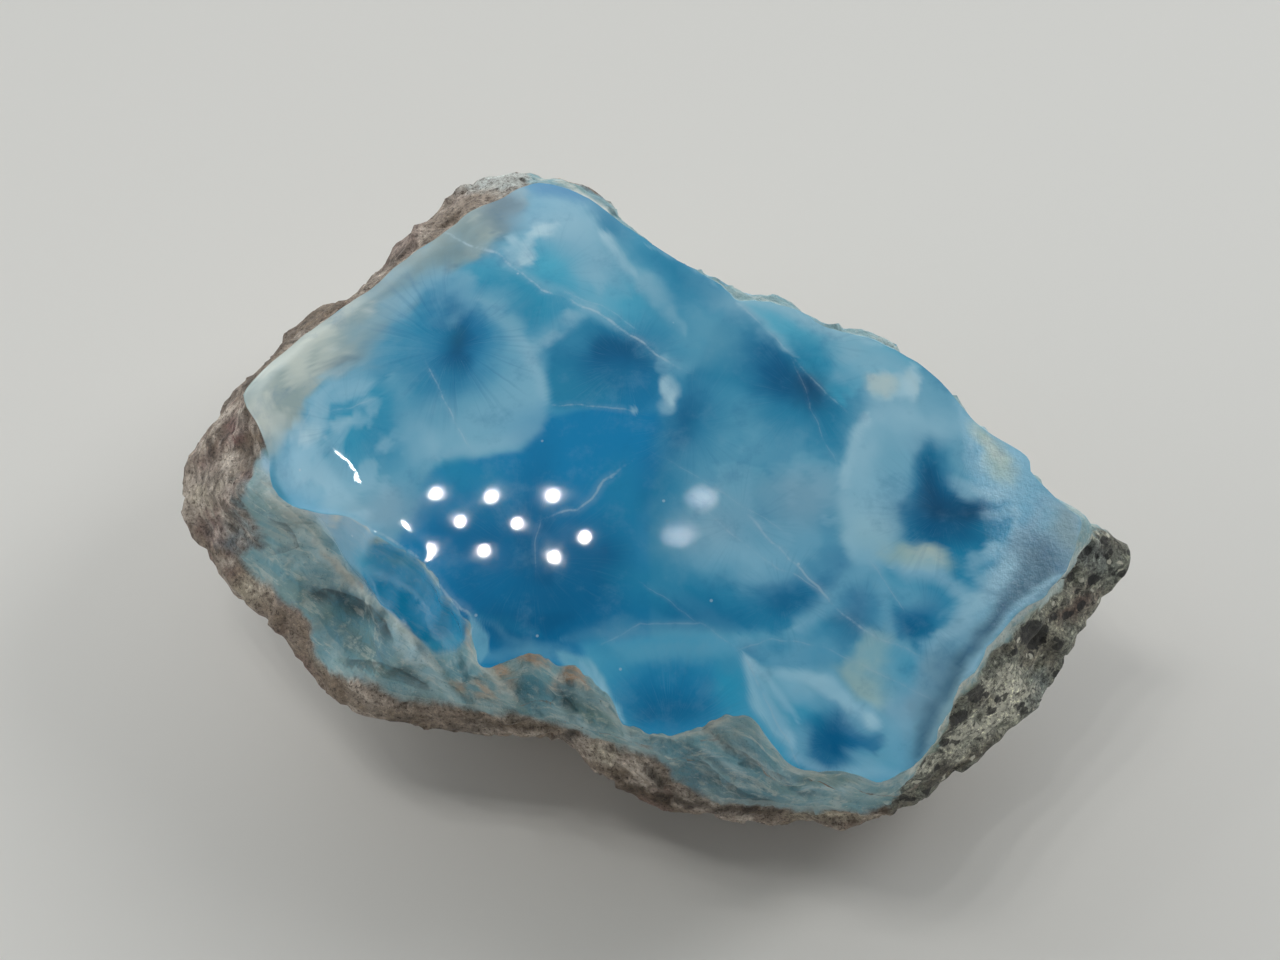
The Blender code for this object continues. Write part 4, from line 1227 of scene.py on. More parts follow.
def paint_rind(paint):
    """What the photo shows on the rind: maroon, white and blue-grey at the left, brown and whitish below, and
    painted shadow along its lowest edge.
    """
    left_rind = [
        ("crust", (222, 420), (24, 16), -50, 0.6), ("maroon", (230, 436), (11, 14), 20, 0.95),
        ("soil", (246, 385), (16, 8), -55, 0.9), ("soil", (262, 366), (16, 5), -40, 0.8),
        ("bark", (236, 402), (10, 10), 0, 0.7), ("bark", (208, 440), (14, 14), 0, 0.6),
        ("soil", (243, 458), (13, 14), -20, 0.85), ("maroon", (206, 466), (10, 10), 0, 0.6),
        ("crust", (226, 464), (13, 10), 0, 0.8), ("crust", (212, 482), (16, 9), 10, 0.6),
        ("soil", (226, 498), (12, 6), 20, 0.7), ("sand", (205, 500), (12, 18), 0, 0.6),
        ("ash", (243, 502), (12, 24), 8, 0.85), ("dusk", (240, 506), (8, 12), 0, 0.5),
        ("maroon", (212, 531), (18, 8), 30, 0.85), ("ash", (240, 532), (24, 14), 20, 0.9),
        ("dusk", (234, 544), (13, 7), 20, 0.8), ("dusk", (257, 548), (7, 9), 30, 0.7),
        ("bark", (222, 556), (12, 6), 30, 0.7), ("crust", (232, 564), (8, 6), 30, 0.7),
        ("soil", (247, 569), (12, 5), 30, 0.7), ("ash", (258, 560), (12, 6), 30, 0.6),
    ]
    paint.blots(left_rind, soft=0.6, grain=0.5)
    mottled_part = [(236, 380), (190, 440), (196, 520), (240, 560), (262, 548), (266, 440)]
    paint.mottle("soil", mottled_part, 1.5, 0.55, soft=6, cover=-0.1)
    paint.mottle("maroon", mottled_part, 2.1, 0.45, soft=6, cover=-0.1)
    paint.mottle("crust", mottled_part, 1.1, 0.5, soft=6, cover=-0.1)
    lower_left_rind = [
        ("sand", (252, 590), (16, 14), 50, 0.6), ("rind", (290, 636), (16, 10), 40, 0.7),
        ("bark", (268, 612), (16, 6), 45, 0.6), ("bark", (330, 680), (24, 6), 35, 0.6),
        ("sand", (318, 664), (12, 5), 40, 0.5), ("soil", (312, 662), (8, 4), 40, 0.5),
        ("rind", (390, 700), (40, 8), 20, 0.8), ("soil", (412, 690), (18, 3), 30, 0.6),
        ("bark", (440, 716), (60, 10), 4, 0.7), ("rind", (430, 712), (30, 6), 4, 0.6),
        ("soil", (462, 728), (24, 4), 0, 0.9), ("soil", (500, 722), (26, 4), 0, 0.8),
        ("bark", (540, 722), (40, 8), 4, 0.8), ("soil", (400, 722), (14, 4), 20, 0.6),
    ]
    paint.blots(lower_left_rind, soft=0.7, grain=0.3)
    # Painted shadow: the dark strokes along the lowest edge, where the stone nears the floor, and the black
    # spot in the pit at its left end
    foot_rind = [
        ("crust", (600, 748), (34, 14), 20, 0.7), ("sand", (612, 754), (22, 12), 20, 0.6),
        ("pit_shade", (570, 731), (5, 8), 20, 0.9), ("soil", (562, 742), (8, 12), 30, 0.7),
        ("bark", (576, 752), (10, 10), 30, 0.6), ("soil", (612, 746), (12, 2), 8, 0.8),
        ("maroon", (625, 757), (8, 5), 0, 0.6), ("crust", (642, 770), (26, 12), 30, 0.7),
        ("soil", (655, 774), (12, 4), 40, 0.9), ("soil", (662, 788), (7, 6), 20, 0.9),
        ("crust", (640, 786), (20, 5), 25, 0.7), ("soil", (690, 792), (10, 5), 20, 0.8),
        ("bark", (602, 768), (30, 5), 22, 0.8), ("bark", (640, 796), (34, 5), 20, 0.8),
        ("soil", (690, 806), (40, 5), 8, 0.8), ("soil", (740, 812), (36, 4), 4, 0.7),
        ("sand", (720, 800), (24, 4), 8, 0.6), ("bark", (780, 814), (34, 4), 4, 0.6),
        ("sand", (840, 818), (50, 5), 2, 0.8), ("bark", (800, 822), (40, 3), 3, 0.7),
        ("bark", (870, 826), (40, 3), -4, 0.6), ("sand", (905, 805), (24, 5), -20, 0.6),
        ("soil", (562, 758), (30, 8), 25, 0.7), ("soil", (612, 786), (38, 6), 22, 0.7),
        ("bark", (524, 738), (30, 8), 14, 0.6), ("soil", (722, 807), (52, 5), 6, 0.8),
    ]
    paint.blots(foot_rind, soft=0.6, grain=0.4)
    upper_rind = [
        ("crust", (486, 182), (60, 18), -12, 0.8), ("mist", (505, 184), (40, 12), -5, 0.5),
        ("bark", (462, 212), (30, 5), -35, 0.6), ("soil", (410, 252), (50, 4), -37, 0.6),
        ("bark", (340, 300), (50, 6), -37, 0.6), ("soil", (290, 340), (40, 4), -38, 0.6),
    ]
    paint.blots(upper_rind, soft=0.6, grain=0.4)


def paint_basalt(paint):
    """Grey-olive basalt with a patch of pale crystals, and gas holes whose darkness is painted shade."""
    paint.fill("basalt")
    paint.lay_on("sand", 0.25 * ramp(paint.grain(6.0), 0.0, 0.5))
    paint.lay_on("soil", 0.45 * ramp(paint.grain(3.0), 0.05, 0.6))
    # The dark brown blots at the gas holes are painted shade inside them, and the ash and maroon ones are
    # grains
    grains_and_hole_shade = [
        ("soil", (1071, 576), (6, 8), 20, 0.9), ("soil", (1081, 607), (6, 9), 30, 0.8),
        ("soil", (1068, 614), (8, 6), -20, 0.8), ("soil", (1053, 616), (6, 7), 20, 0.8),
        ("soil", (1094, 556), (6, 6), 0, 0.7), ("soil", (1106, 554), (6, 7), -30, 0.7),
        ("soil", (1092, 580), (5, 8), 20, 0.6), ("soil", (1056, 656), (8, 10), 30, 0.6),
        ("soil", (1018, 645), (14, 7), -40, 0.7), ("soil", (998, 652), (12, 8), -30, 0.5),
        ("pit_shade", (946, 740), (8, 12), 20, 0.6), ("soil", (990, 700), (12, 8), 0, 0.7),
        ("ash", (1036, 700), (14, 22), 30, 0.4), ("ash", (1040, 676), (12, 10), 0, 0.5),
        ("soil", (982, 750), (34, 8), -36, 0.7), ("soil", (946, 776), (30, 8), -34, 0.7),
        ("maroon", (1080, 610), (26, 12), -50, 0.4), ("ash", (1092, 556), (24, 14), 40, 0.4),
    ]
    paint.blots(grains_and_hole_shade, soft=0.5, ragged=4, wispy=4, grain=0.4)
    crystals = [
        ("crystal", (1006, 700), (34, 26), -45, 0.35), ("crystal", (975, 738), (36, 14), -35, 0.35),
        ("crystal", (1014, 692), (16, 10), -40, 0.9), ("crystal", (1008, 674), (8, 9), 0, 0.7),
        ("crystal", (1020, 668), (5, 5), 0, 0.8), ("crystal", (985, 683), (5, 4), 0, 0.8),
        ("crystal", (1000, 714), (7, 6), 0, 0.8), ("crystal", (972, 730), (9, 6), 20, 0.9),
        ("crystal", (985, 732), (7, 8), 30, 0.8), ("crystal", (1004, 728), (6, 5), 0, 0.7),
        ("crystal", (957, 744), (6, 6), 0, 0.8), ("crystal", (1018, 716), (5, 5), 0, 0.6),
        ("crystal", (988, 716), (5, 4), 0, 0.7), ("crystal", (936, 758), (12, 5), -30, 0.6),
        ("crystal", (956, 756), (10, 4), -20, 0.5), ("crystal", (994, 686), (6, 5), 0, 0.5),
        ("crystal", (1012, 704), (6, 5), 0, 0.6), ("crystal", (920, 772), (14, 4), -25, 0.6),
    ]
    paint.blots(crystals, soft=0.2, ragged=4, wispy=5, grain=0.35)


# Where the wall shows rind instead of larimar
RIND_BELOW = [
    (236, 384), (248, 404), (264, 428), (264, 448), (252, 464), (248, 480), (242, 500), (254, 520),
    (262, 548), (240, 560), (262, 580), (290, 608), (312, 624), (316, 655), (345, 673), (372, 685),
    (402, 697), (432, 705), (470, 707), (510, 711), (540, 715), (566, 722), (590, 732), (622, 745),
    (652, 752), (670, 768), (684, 788), (702, 799), (742, 803), (800, 811), (850, 812), (896, 802),
    (908, 784), (960, 900), (600, 900), (200, 780), (120, 560), (150, 400),
]
RIND_ABOVE = [
    (240, 410), (262, 390), (305, 345), (370, 298), (400, 272), (452, 236), (475, 220), (505, 208),
    (530, 190), (528, 150), (450, 150), (180, 300), (180, 390),
]


# Where the wall shows basalt
BASALT_IN = [
    (1100, 520), (1087, 546), (1076, 568), (1064, 592), (1042, 611), (1022, 625), (1006, 641), (992, 653),
    (981, 671), (970, 690), (956, 708), (948, 726), (940, 745), (925, 757), (913, 776), (900, 790),
    (884, 812), (1000, 900), (1300, 800), (1300, 420),
]
# On the hidden side the same border is a plan line, as two points seen on the rim with their height
BASALT_LINE = ((44.7, -4.8, 33.0), (25.9, -30.1, 27.0))
# The plan direction of the upper left side, which is rind up to the rim, and where that starts
RIND_SIDE = (-0.68, 0.73)
RIND_SIDE_FROM = 20.0
# The larimar seam is open down to this height on the hidden back
SEAM_FLOOR = 22.0


class Zones:
    """Which stuff each point of the stone is made of: weights from 0 to 1."""

    def __init__(self, points, normals, on_face, paint):
        wall = ~on_face
        toward = np.array([0, -math.cos(SIGHT_ELEVATION), math.sin(SIGHT_ELEVATION)])
        rim = [in_photo(across, up) for across, up, _ in RIM]
        # Points of the wall that lie behind the face don't show, whichever way they look
        shown = ramp(normals @ toward, 0.0, 0.18) * (1 - ramp(inside_outline(paint.at, rim), 2, 8))
        rough = fractal(points, 5.0, 4, seed=61)

        near, far = [np.array(lay(*end)) for end in BASALT_LINE]
        along = (far - near) / np.linalg.norm(far - near)
        past = along[0] * (points[:, 1] - near[1]) - along[1] * (points[:, 0] - near[0])
        drawn = ramp(inside_outline(paint.moved(4, 4), BASALT_IN), -3, 3)
        self.basalt = (shown * drawn + (1 - shown) * ramp(past + 0.4 * rough, -0.3, 0.3)) * wall

        drawn = np.maximum(ramp(inside_outline(paint.moved(6, 4), RIND_BELOW), -4, 4),
                           ramp(inside_outline(paint.moved(4, 3), RIND_ABOVE), -3, 3))
        sideways = points[:, :2] @ np.array(RIND_SIDE)
        seam = ramp(points[:, 2] + 4.0 * rough, SEAM_FLOOR - 0.7, SEAM_FLOOR + 0.7)
        seam = seam * (1 - ramp(sideways + rough, RIND_SIDE_FROM - 1, RIND_SIDE_FROM + 1))
        self.rind = (shown * drawn + (1 - shown) * (1 - seam)) * wall * (1 - self.basalt)
        self.broken = np.clip(wall - self.rind - self.basalt, 0, 1)
        self.hidden = (1 - shown) * wall
        self.face = on_face.astype(float)


def nearest_spot(points, size, seed):
    """Distance to the nearest of scattered spots, in spot spacings, the way from it, and its cell."""
    p = points / size
    low = np.floor(p)
    nearest, way, home = np.full(len(p), 9.0), np.zeros_like(p), low
    for corner in np.ndindex(3, 3, 3):
        cell = low + np.array(corner) - 1
        offset = p - cell - three_numbers(cell, seed)
        far = np.linalg.norm(offset, axis=1)
        closer = (far < nearest)[:, None]
        nearest = np.minimum(nearest, far)
        way, home = np.where(closer, offset, way), np.where(closer, cell, home)
    return nearest, way, home


def facets(points, size, lean, seed):
    """Flat breaks: round each scattered spot a plane of its own, with a small step where two of them meet."""
    _, way, home = nearest_spot(points, size, seed)
    plane = three_numbers(home, seed + 11) * 2 - 1
    return (way * plane).sum(axis=1) * size * lean


# Spacing of the small gas holes in the basalt, and size and lean of the flat breaks all over the wall
GAS_HOLE_SPACING = 2.4
FACET_SIZE = 3.6
FACET_LEAN = 0.13


def fine_relief(points, zones):
    """The grain of the rough stone, too fine for the solid, as a height along the normals."""
    grit = 0.20 * fractal(points, 1.5, 3, seed=71)
    knots = 0.30 * (0.5 - np.abs(fractal(points, 3.0, 3, seed=73)))
    rind = zones.rind * (grit + knots)

    near, _, cell = nearest_spot(points, GAS_HOLE_SPACING, seed=79)
    holes = np.where(lattice(cell, 86) > 0.45, np.clip(1 - (near / 0.42) ** 2, 0, 1), 0)
    basalt = zones.basalt * (0.9 * grit - 0.55 * holes)

    splinters = points * np.array([1.0, 1.0, 0.35]) + 0.6 * points[:, 2:]
    fibres = 0.10 * fractal(splinters, 1.1, 3, seed=83)
    steps = 0.22 * (0.45 - np.abs(fractal(points, 4.0, 4, seed=89)))
    broken = zones.broken * (fibres + steps)

    bent = points + 0.5 * np.column_stack([fractal(points, 6.0, 2, seed) for seed in (5, 6, 7)])
    planes = facets(bent, FACET_SIZE, FACET_LEAN, seed=91) * (1 - zones.face)
    return (rind + basalt + broken + planes) * (1 - 0.9 * smooth_wall(seen(points)))


def paint_hidden(paint, zones):
    """The broken larimar seam round the back, which the photo doesn't show."""
    seam = zones.hidden * ramp(below_dome(paint.points), 0.8, 3.0)
    paint.lay_on("sea", seam)
    paint.lay_on("foam", seam * 0.8 * ramp(paint.grain(7.0), -0.1, 0.5))
    paint.lay_on("sky", seam * 0.8 * ramp(paint.grain(5.0), 0.0, 0.5))
    paint.lay_on("chalk", seam * 0.5 * ramp(paint.grain(3.0), 0.2, 0.6))


def below_dome(points):
    return dome(points[:, 0], points[:, 1]) - points[:, 2]


def even_out(paint):
    """Darkens the far part of the face, which gets more of the room's light, and deepens the contrast."""
    extra = FAR_LIGHT - FAR_LIGHT_FALL * (paint.at[:, 1] - FAR_LIGHT_ROW)
    contrast = (paint.color.mean(axis=1) / FACE_MEAN) ** FACE_CONTRAST
    paint.color = paint.color * FACE_CAST * (contrast / (1 + extra))[:, None]


def paint_veils(paint):
    """Veils that lie over the cells, then the touches that lie over the veils."""
    veils = [
        ("cloud", (402, 296), (44, 16), -32, 0.7), ("grey", (366, 340), (28, 16), -40, 0.5),
        ("cloud", (742, 306), (50, 16), 32, 0.6), ("cloud", (842, 344), (60, 16), 24, 0.6),
        ("cloud", (892, 396), (42, 24), 44, 0.65), ("cloud", (722, 548), (40, 24), 12, 0.5),
        ("pale", (466, 300), (34, 16), 10, 0.6), ("haze", (812, 330), (40, 14), 20, 0.4),
        ("cloud", (870, 392), (34, 16), 30, 0.35), ("pale", (730, 572), (44, 18), 0, 0.4),
        ("pale", (590, 262), (44, 22), 24, 0.35), ("cloud", (868, 500), (22, 34), 0, 0.35),
        ("pale", (792, 556), (50, 22), 10, 0.4), ("pale", (786, 652), (56, 16), 0, 0.45),
        ("pale", (868, 602), (34, 26), 0, 0.4), ("cloud", (826, 694), (46, 18), 24, 0.4),
        ("pale", (876, 500), (30, 36), 0, 0.35), ("cloud", (592, 250), (36, 22), 30, 0.4),
        ("pale", (826, 502), (40, 30), 0, 0.3), ("cloud", (882, 704), (24, 18), 0, 0.35),
        ("azure", (664, 348), (34, 16), 30, 0.4), ("azure", (905, 742), (22, 34), 8, 0.35),
        ("haze", (897, 663), (32, 20), 20, 0.85), ("lavender", (394, 512), (26, 20), 0, 0.5),
        ("cloud", (804, 318), (38, 10), 26, 0.5), ("beige", (872, 668), (15, 14), 0, 0.4),
    ]
    paint.blots(veils, soft=1.0, ragged=14, wispy=8)
    edge_veils = [
        ("haze", (548, 653), (36, 9), 14, 0.65), ("haze", (500, 657), (22, 6), -12, 0.5),
        ("haze", (492, 628), (20, 4), 30, 0.35), ("cloud", (858, 772), (36, 7), 6, 0.6),
        ("cloud", (814, 762), (18, 5), 16, 0.5), ("slate", (929, 724), (9, 34), 16, 0.65),
        ("smoke", (945, 714), (5, 30), 24, 0.5),
    ]
    paint.blots(edge_veils, soft=0.8, ragged=5, wispy=3)
    notch = [(468, 612), (480, 626), (488, 638), (489, 654), (481, 664), (468, 650)]
    paint.area("haze", notch, 0.85, soft=2, ragged=2, wispy=1)
    deeper_touches = [
        ("slate", (500, 211), (22, 13), -32, 0.8), ("smoke", (476, 234), (28, 15), -32, 0.65),
        ("rich", (552, 190), (34, 9), 12, 0.75), ("azure", (608, 222), (22, 8), 42, 0.85),
        ("azure", (664, 302), (28, 22), 38, 0.45), ("azure", (692, 278), (34, 9), 32, 0.5),
        ("turquoise", (784, 327), (26, 11), 26, 0.8), ("cloud", (812, 321), (40, 8), 22, 0.55),
        ("teal", (808, 353), (24, 16), 34, 0.6), ("navy", (812, 388), (14, 15), 30, 0.45),
        # Partly painted reflection: the lavender over the duller middle stands for the lamp's haze there
        ("lavender", (708, 526), (46, 26), -14, 0.45), ("lavender", (800, 500), (40, 24), 0, 0.4),
    ]
    paint.blots(deeper_touches, soft=0.8, ragged=5, wispy=3)
    white_touches = [
        ("milk", (880, 385), (15, 8), 12, 0.55), ("white", (910, 392), (9, 12), -24, 0.65),
        ("white", (918, 374), (6, 10), 0, 0.5), ("white", (669, 393), (6, 12), 8, 0.65),
        ("white", (538, 230), (12, 6), -22, 0.6), ("white", (524, 252), (6, 13), 10, 0.5),
    ]
    paint.blots(white_touches, soft=0.5, ragged=5, wispy=4, grain=0.2)
    white_lines = [
        ("cloud", [(612, 240), (634, 274), (660, 306), (686, 336)], 8, 0.5),
        ("white", [(604, 232), (618, 248)], 5, 0.5),
    ]
    paint.lines(white_lines)


def paint_face(paint):
    paint_grounds(paint)
    paint_grey_band(paint)
    paint_top(paint)
    paint_first_cell(paint)
    paint_left_end(paint)
    paint_middle(paint)
    paint_upper_right(paint)
    paint_hazy_middle(paint)
    paint_right_cells(paint)
    paint_right_edge(paint)
    paint_bottom_cells(paint)
    paint_veils(paint)
    even_out(paint)


def paint_all(paint, zones):
    """Paints each stuff over the whole stone, and keeps each where the stone is made of it."""
    paint_face(paint)
    edge = zones.hidden * (1 - ramp(below_dome(paint.points), 0.6, 2.5))
    face, on_face = paint.color.copy(), np.maximum(zones.face, edge)
    paint_broken_wall(paint)
    paint_scoop(paint)
    paint_hidden(paint, zones)
    broken = paint.color * (1 - on_face[:, None]) + face * on_face[:, None]
    paint_plain_rind(paint)
    plain = paint.color.copy()
    paint_rind(paint)
    rind = paint.color + (plain - paint.color) * zones.hidden[:, None]
    paint_basalt(paint)
    weights = [np.maximum(zones.broken, zones.face), zones.rind, zones.basalt]
    paint.color = sum(weight[:, None] * color for weight, color in zip(weights, (broken, rind, paint.color)))


# Middle of each radial cell, how far its fibres reach, and how strongly they show
FIBRE_CELLS = [
    ((452, 345), 105, 0.9), ((625, 365), 75, 0.6), ((530, 560), 120, 0.35), ((690, 425), 80, 0.5),
    ((805, 395), 85, 0.4), ((945, 512), 95, 0.65), ((925, 618), 60, 0.6), ((862, 612), 45, 0.5),
    ((668, 735), 105, 0.6), ((835, 745), 48, 0.6), ((545, 275), 70, 0.5), ((820, 345), 60, 0.5),
    ((780, 595), 70, 0.5), ((350, 420), 70, 0.5), ((425, 620), 70, 0.6), ((330, 600), 60, 0.8),
    ((760, 790), 80, 0.8), ((740, 520), 80, 0.4),
]
FIBRES_ROUND = 11.0


def fibre_field(paint):
    """A place in a noise that is drawn out along the fibres of the nearest cell, and its strength."""
    place = np.zeros((len(paint.at), 3))
    strength = np.zeros(len(paint.at))
    nearest = np.full(len(paint.at), 9.0)
    at = paint.moved(2.5, 0.4)
    for number, (middle, reach, share) in enumerate(FIBRE_CELLS):
        offset = at - np.array(middle)
        far = np.linalg.norm(offset, axis=1) + 1e-3
        here = far / reach < nearest
        nearest = np.where(here, far / reach, nearest)
        ray = np.column_stack([offset / far[:, None] * FIBRES_ROUND, 0.4 * np.log(far + 6) + 9 * number])
        place = np.where(here[:, None], ray, place)
        fade = share * (1 - ramp(far / reach, 0.55, 1.0)) * ramp(far, 4, 16)
        strength = np.where(here, fade, strength)
    return place, strength


# Thin healed cracks, in three sets so that lines of one set stay apart: the line, its width and how it shows
CRACKS = (
    [
        ([(436, 229), (470, 246), (497, 253), (515, 268), (540, 290), (570, 300), (600, 312), (630, 335),
          (660, 358), (682, 370)], 3.0, 0.95),
        ([(550, 405), (580, 403), (610, 408), (636, 409)], 2.2, 0.6),
        ([(705, 508), (735, 535), (768, 560), (800, 578), (822, 592)], 1.8, 0.5),
        ([(735, 300), (765, 330), (785, 346), (805, 372), (830, 398), (846, 412)], 2.4, 0.45),
        ([(870, 560), (890, 590), (905, 612)], 1.6, 0.4),
        ([(598, 648), (640, 622), (700, 624), (738, 650)], 2.0, 0.35),
    ],
    [
        ([(425, 360), (441, 395), (455, 425), (470, 447)], 2.0, 0.6),
        ([(745, 512), (790, 560), (820, 589), (845, 616), (862, 630), (882, 640), (925, 656)], 2.8, 0.8),
        ([(542, 520), (536, 545), (534, 576)], 1.6, 0.4),
        ([(787, 348), (802, 382), (813, 416), (828, 450), (836, 466)], 1.6, 0.28),
        ([(560, 292), (602, 303), (636, 330)], 1.6, 0.4),
        ([(736, 652), (772, 638), (822, 648), (862, 664)], 2.0, 0.35),
        ([(312, 408), (300, 425), (298, 448)], 2.0, 0.4),
    ],
    [
        ([(552, 516), (576, 508), (590, 496), (602, 480), (626, 464)], 3.0, 0.8),
        ([(650, 448), (700, 478), (742, 505), (790, 535)], 1.4, 0.25),
        ([(640, 580), (668, 598), (695, 622)], 1.4, 0.25),
        ([(376, 531), (400, 544), (428, 566), (450, 599), (467, 612), (473, 630), (466, 646)], 3.6, 0.9),
        ([(742, 655), (760, 690), (790, 745), (802, 768)], 2.6, 0.5),
        ([(846, 655), (880, 672), (915, 690), (935, 700)], 1.8, 0.35),
        ([(372, 400), (352, 408), (330, 410)], 1.8, 0.4),
    ],
)
CRACK_REACH = 14.0


# Edges of the broken wall, in three sets: below a pale one the stone is chalky, and below a dark one, whose
# strength is less than 0, it is in shade
LEDGE_LINES = (
    [
        ([(266, 494), (290, 510), (316, 538), (338, 564), (358, 588), (389, 611), (421, 642),
          (448, 680)], 2.0, 0.8),
        ([(702, 727), (725, 744), (749, 759), (769, 771), (794, 778)], 2.0, -0.7),
        ([(558, 684), (566, 700), (580, 714)], 2.0, -0.6),
        ([(316, 618), (328, 632), (346, 652)], 2.0, 0.5),
    ],
    [
        ([(311, 596), (324, 589), (346, 594), (366, 604), (382, 620), (392, 640)], 2.6, -0.95),
        ([(472, 652), (494, 672), (517, 698)], 2.0, 0.7),
        ([(676, 741), (702, 760), (743, 794), (778, 804)], 2.0, -0.7),
        ([(752, 716), (768, 738), (792, 765), (815, 771), (842, 776)], 1.6, 0.5),
        ([(600, 700), (618, 722), (640, 733)], 1.6, 0.5),
    ],
    [
        ([(292, 630), (316, 651), (328, 670), (356, 679), (380, 687), (402, 695), (425, 700), (450, 704),
          (480, 704), (500, 708), (520, 714), (545, 719), (575, 724), (600, 736), (622, 745), (640, 746),
          (662, 755)], 1.5, 0.5),
        ([(344, 657), (362, 661), (380, 662), (403, 671), (430, 690)], 2.4, -0.8),
        ([(268, 522), (284, 523), (293, 533), (298, 548), (268, 557)], 1.4, -0.6),
        ([(640, 731), (662, 737), (690, 734), (712, 725), (730, 715)], 1.5, 0.6),
        ([(696, 786), (718, 797), (760, 801), (800, 806), (850, 808)], 1.6, 0.4),
    ],
)


def line_fields(paint, sets):
    """For each set: the signed distance to its nearest line, in line widths, and how strongly it shows."""
    distances, strengths = [], []
    at = paint.moved(2.5, 1.5)
    for cracks in sets:
        nearest = np.full(len(at), 1e9)
        signed, strength = np.full(len(at), 9.0), np.zeros(len(at))
        for line, width, share in cracks:
            far, side, along = to_segments(at, line)
            here = far < nearest
            nearest = np.where(here, far, nearest)
            signed = np.where(here, side * far / width, signed)
            ends = np.clip(1.15 - np.abs(2 * along - 1) ** 6, 0, 1)
            strength = np.where(here, share * ends * (far < CRACK_REACH), strength)
        distances.append(np.clip(signed, -9, 9))
        strengths.append(strength)
    return np.column_stack(distances), np.column_stack(strengths)


# Where the polish is a little duller, in the photo's pixels, and by how much
HAZE_MIDDLE = (698, 518)
HAZE_REACH = (75, 50)
HAZE_DEPTH = 0.028
# The corner by the basalt, where it is much duller
DULL_CORNER = [(960, 400), (1060, 480), (1110, 540), (1050, 640), (980, 640), (990, 520)]
DULL_DEPTH = 0.4
# The gloss of the smooth places of the wall
SMOOTH_WALL_GLOSS = 0.85


def gloss_field(paint, zones):
    """How well each point is polished, from 0, rough, to 1."""
    haze = np.exp(-oval(paint.moved(14, 6), HAZE_MIDDLE, HAZE_REACH, 0) ** 2)
    dull = ramp(inside_outline(paint.moved(6, 2), DULL_CORNER), -30, 30)
    gloss = zones.face * (1 - HAZE_DEPTH * haze) * (1 - DULL_DEPTH * dull)
    return np.maximum(gloss, SMOOTH_WALL_GLOSS * smooth_wall(paint.at) * zones.broken)


# Gas holes of the basalt that the photo shows, with painted shade inside them: middle, reach, turn
SEEN_HOLES = [
    ((1034, 634), (15, 14), -60), ((976, 693), (8, 11), 20), ((958, 718), (12, 6), -35),
    ((1071, 577), (4, 6), 20), ((1081, 606), (4, 6), 30), ((1067, 615), (6, 4), -20),
    ((1053, 617), (4, 5), 20), ((1096, 556), (5, 3), 0), ((1107, 556), (3, 5), -30),
    ((1092, 580), (4, 6), 20), ((1056, 640), (5, 3), 30), ((1078, 592), (4, 3), 0),
    ((1014, 652), (5, 3), -40), ((998, 700), (4, 3), 0), ((1022, 705), (4, 3), -30),
    ((944, 742), (6, 4), -40),
]


def hole_field(paint):
    """How far each point lies outside the nearest gas hole, in shares of the hole's reach."""
    nearest = np.full(len(paint.at), 3.0)
    for hole in SEEN_HOLES:
        nearest = np.minimum(nearest, oval(paint.at, *hole) - 1)
    return nearest


def stone_mesh():
    mesh = bpy.data.meshes.new("larimar_skin")
    ball = bmesh.new()
    bmesh.ops.create_uvsphere(ball, u_segments=SEGMENTS, v_segments=RINGS, radius=1.0)
    directions = np.array([vert.co for vert in ball.verts])
    theta = np.arctan2(directions[:, 1], directions[:, 0])
    theta = theta - CLOSER_POINTS * np.sin(theta - CLOSEST_AT)
    t = np.arccos(np.clip(directions[:, 2], -1, 1)) / math.pi
    t = np.round(t * RINGS) / RINGS
    points = stone_points(theta, t)
    for vert, co in zip(ball.verts, points):
        vert.co = Vector(co) * MM
    bmesh.ops.recalc_face_normals(ball, faces=ball.faces)
    ball.to_mesh(mesh)
    ball.free()
    mesh.shade_smooth()
    sharpen_rim(mesh, theta, t)
    return mesh, points, t


def sharpen_rim(mesh, theta, t):
    """The polished face ends in a crisp edge, apart from the left end, where it is rolled over."""
    _, roll = rim_at(theta)
    crisp = (np.abs(t - RIM_AT) < 0.5 / RINGS) & (roll < 0.25)
    ends = np.empty(len(mesh.edges) * 2, int)
    mesh.edges.foreach_get("vertices", ends)
    sharp = mesh.attributes.new("sharp_edge", "BOOLEAN", "EDGE")
    sharp.data.foreach_set("value", crisp[ends.reshape(-1, 2)].all(axis=1))


def move_points(mesh, points):
    mesh.vertices.foreach_set("co", (points * MM).astype(np.float32).ravel())
    mesh.update()


def point_normals(mesh):
    normals = np.empty(len(mesh.vertices) * 3, np.float32)
    mesh.vertex_normals.foreach_get("vector", normals)
    return normals.reshape(-1, 3).astype(float)


def put(mesh, name, kind, values):
    """Stores one value for each point of the mesh."""
    attribute = mesh.attributes.new(name, kind, "POINT")
    field = {"FLOAT": "value", "FLOAT_VECTOR": "vector", "FLOAT_COLOR": "color"}[kind]
    attribute.data.foreach_set(field, np.ascontiguousarray(values, np.float32).ravel())


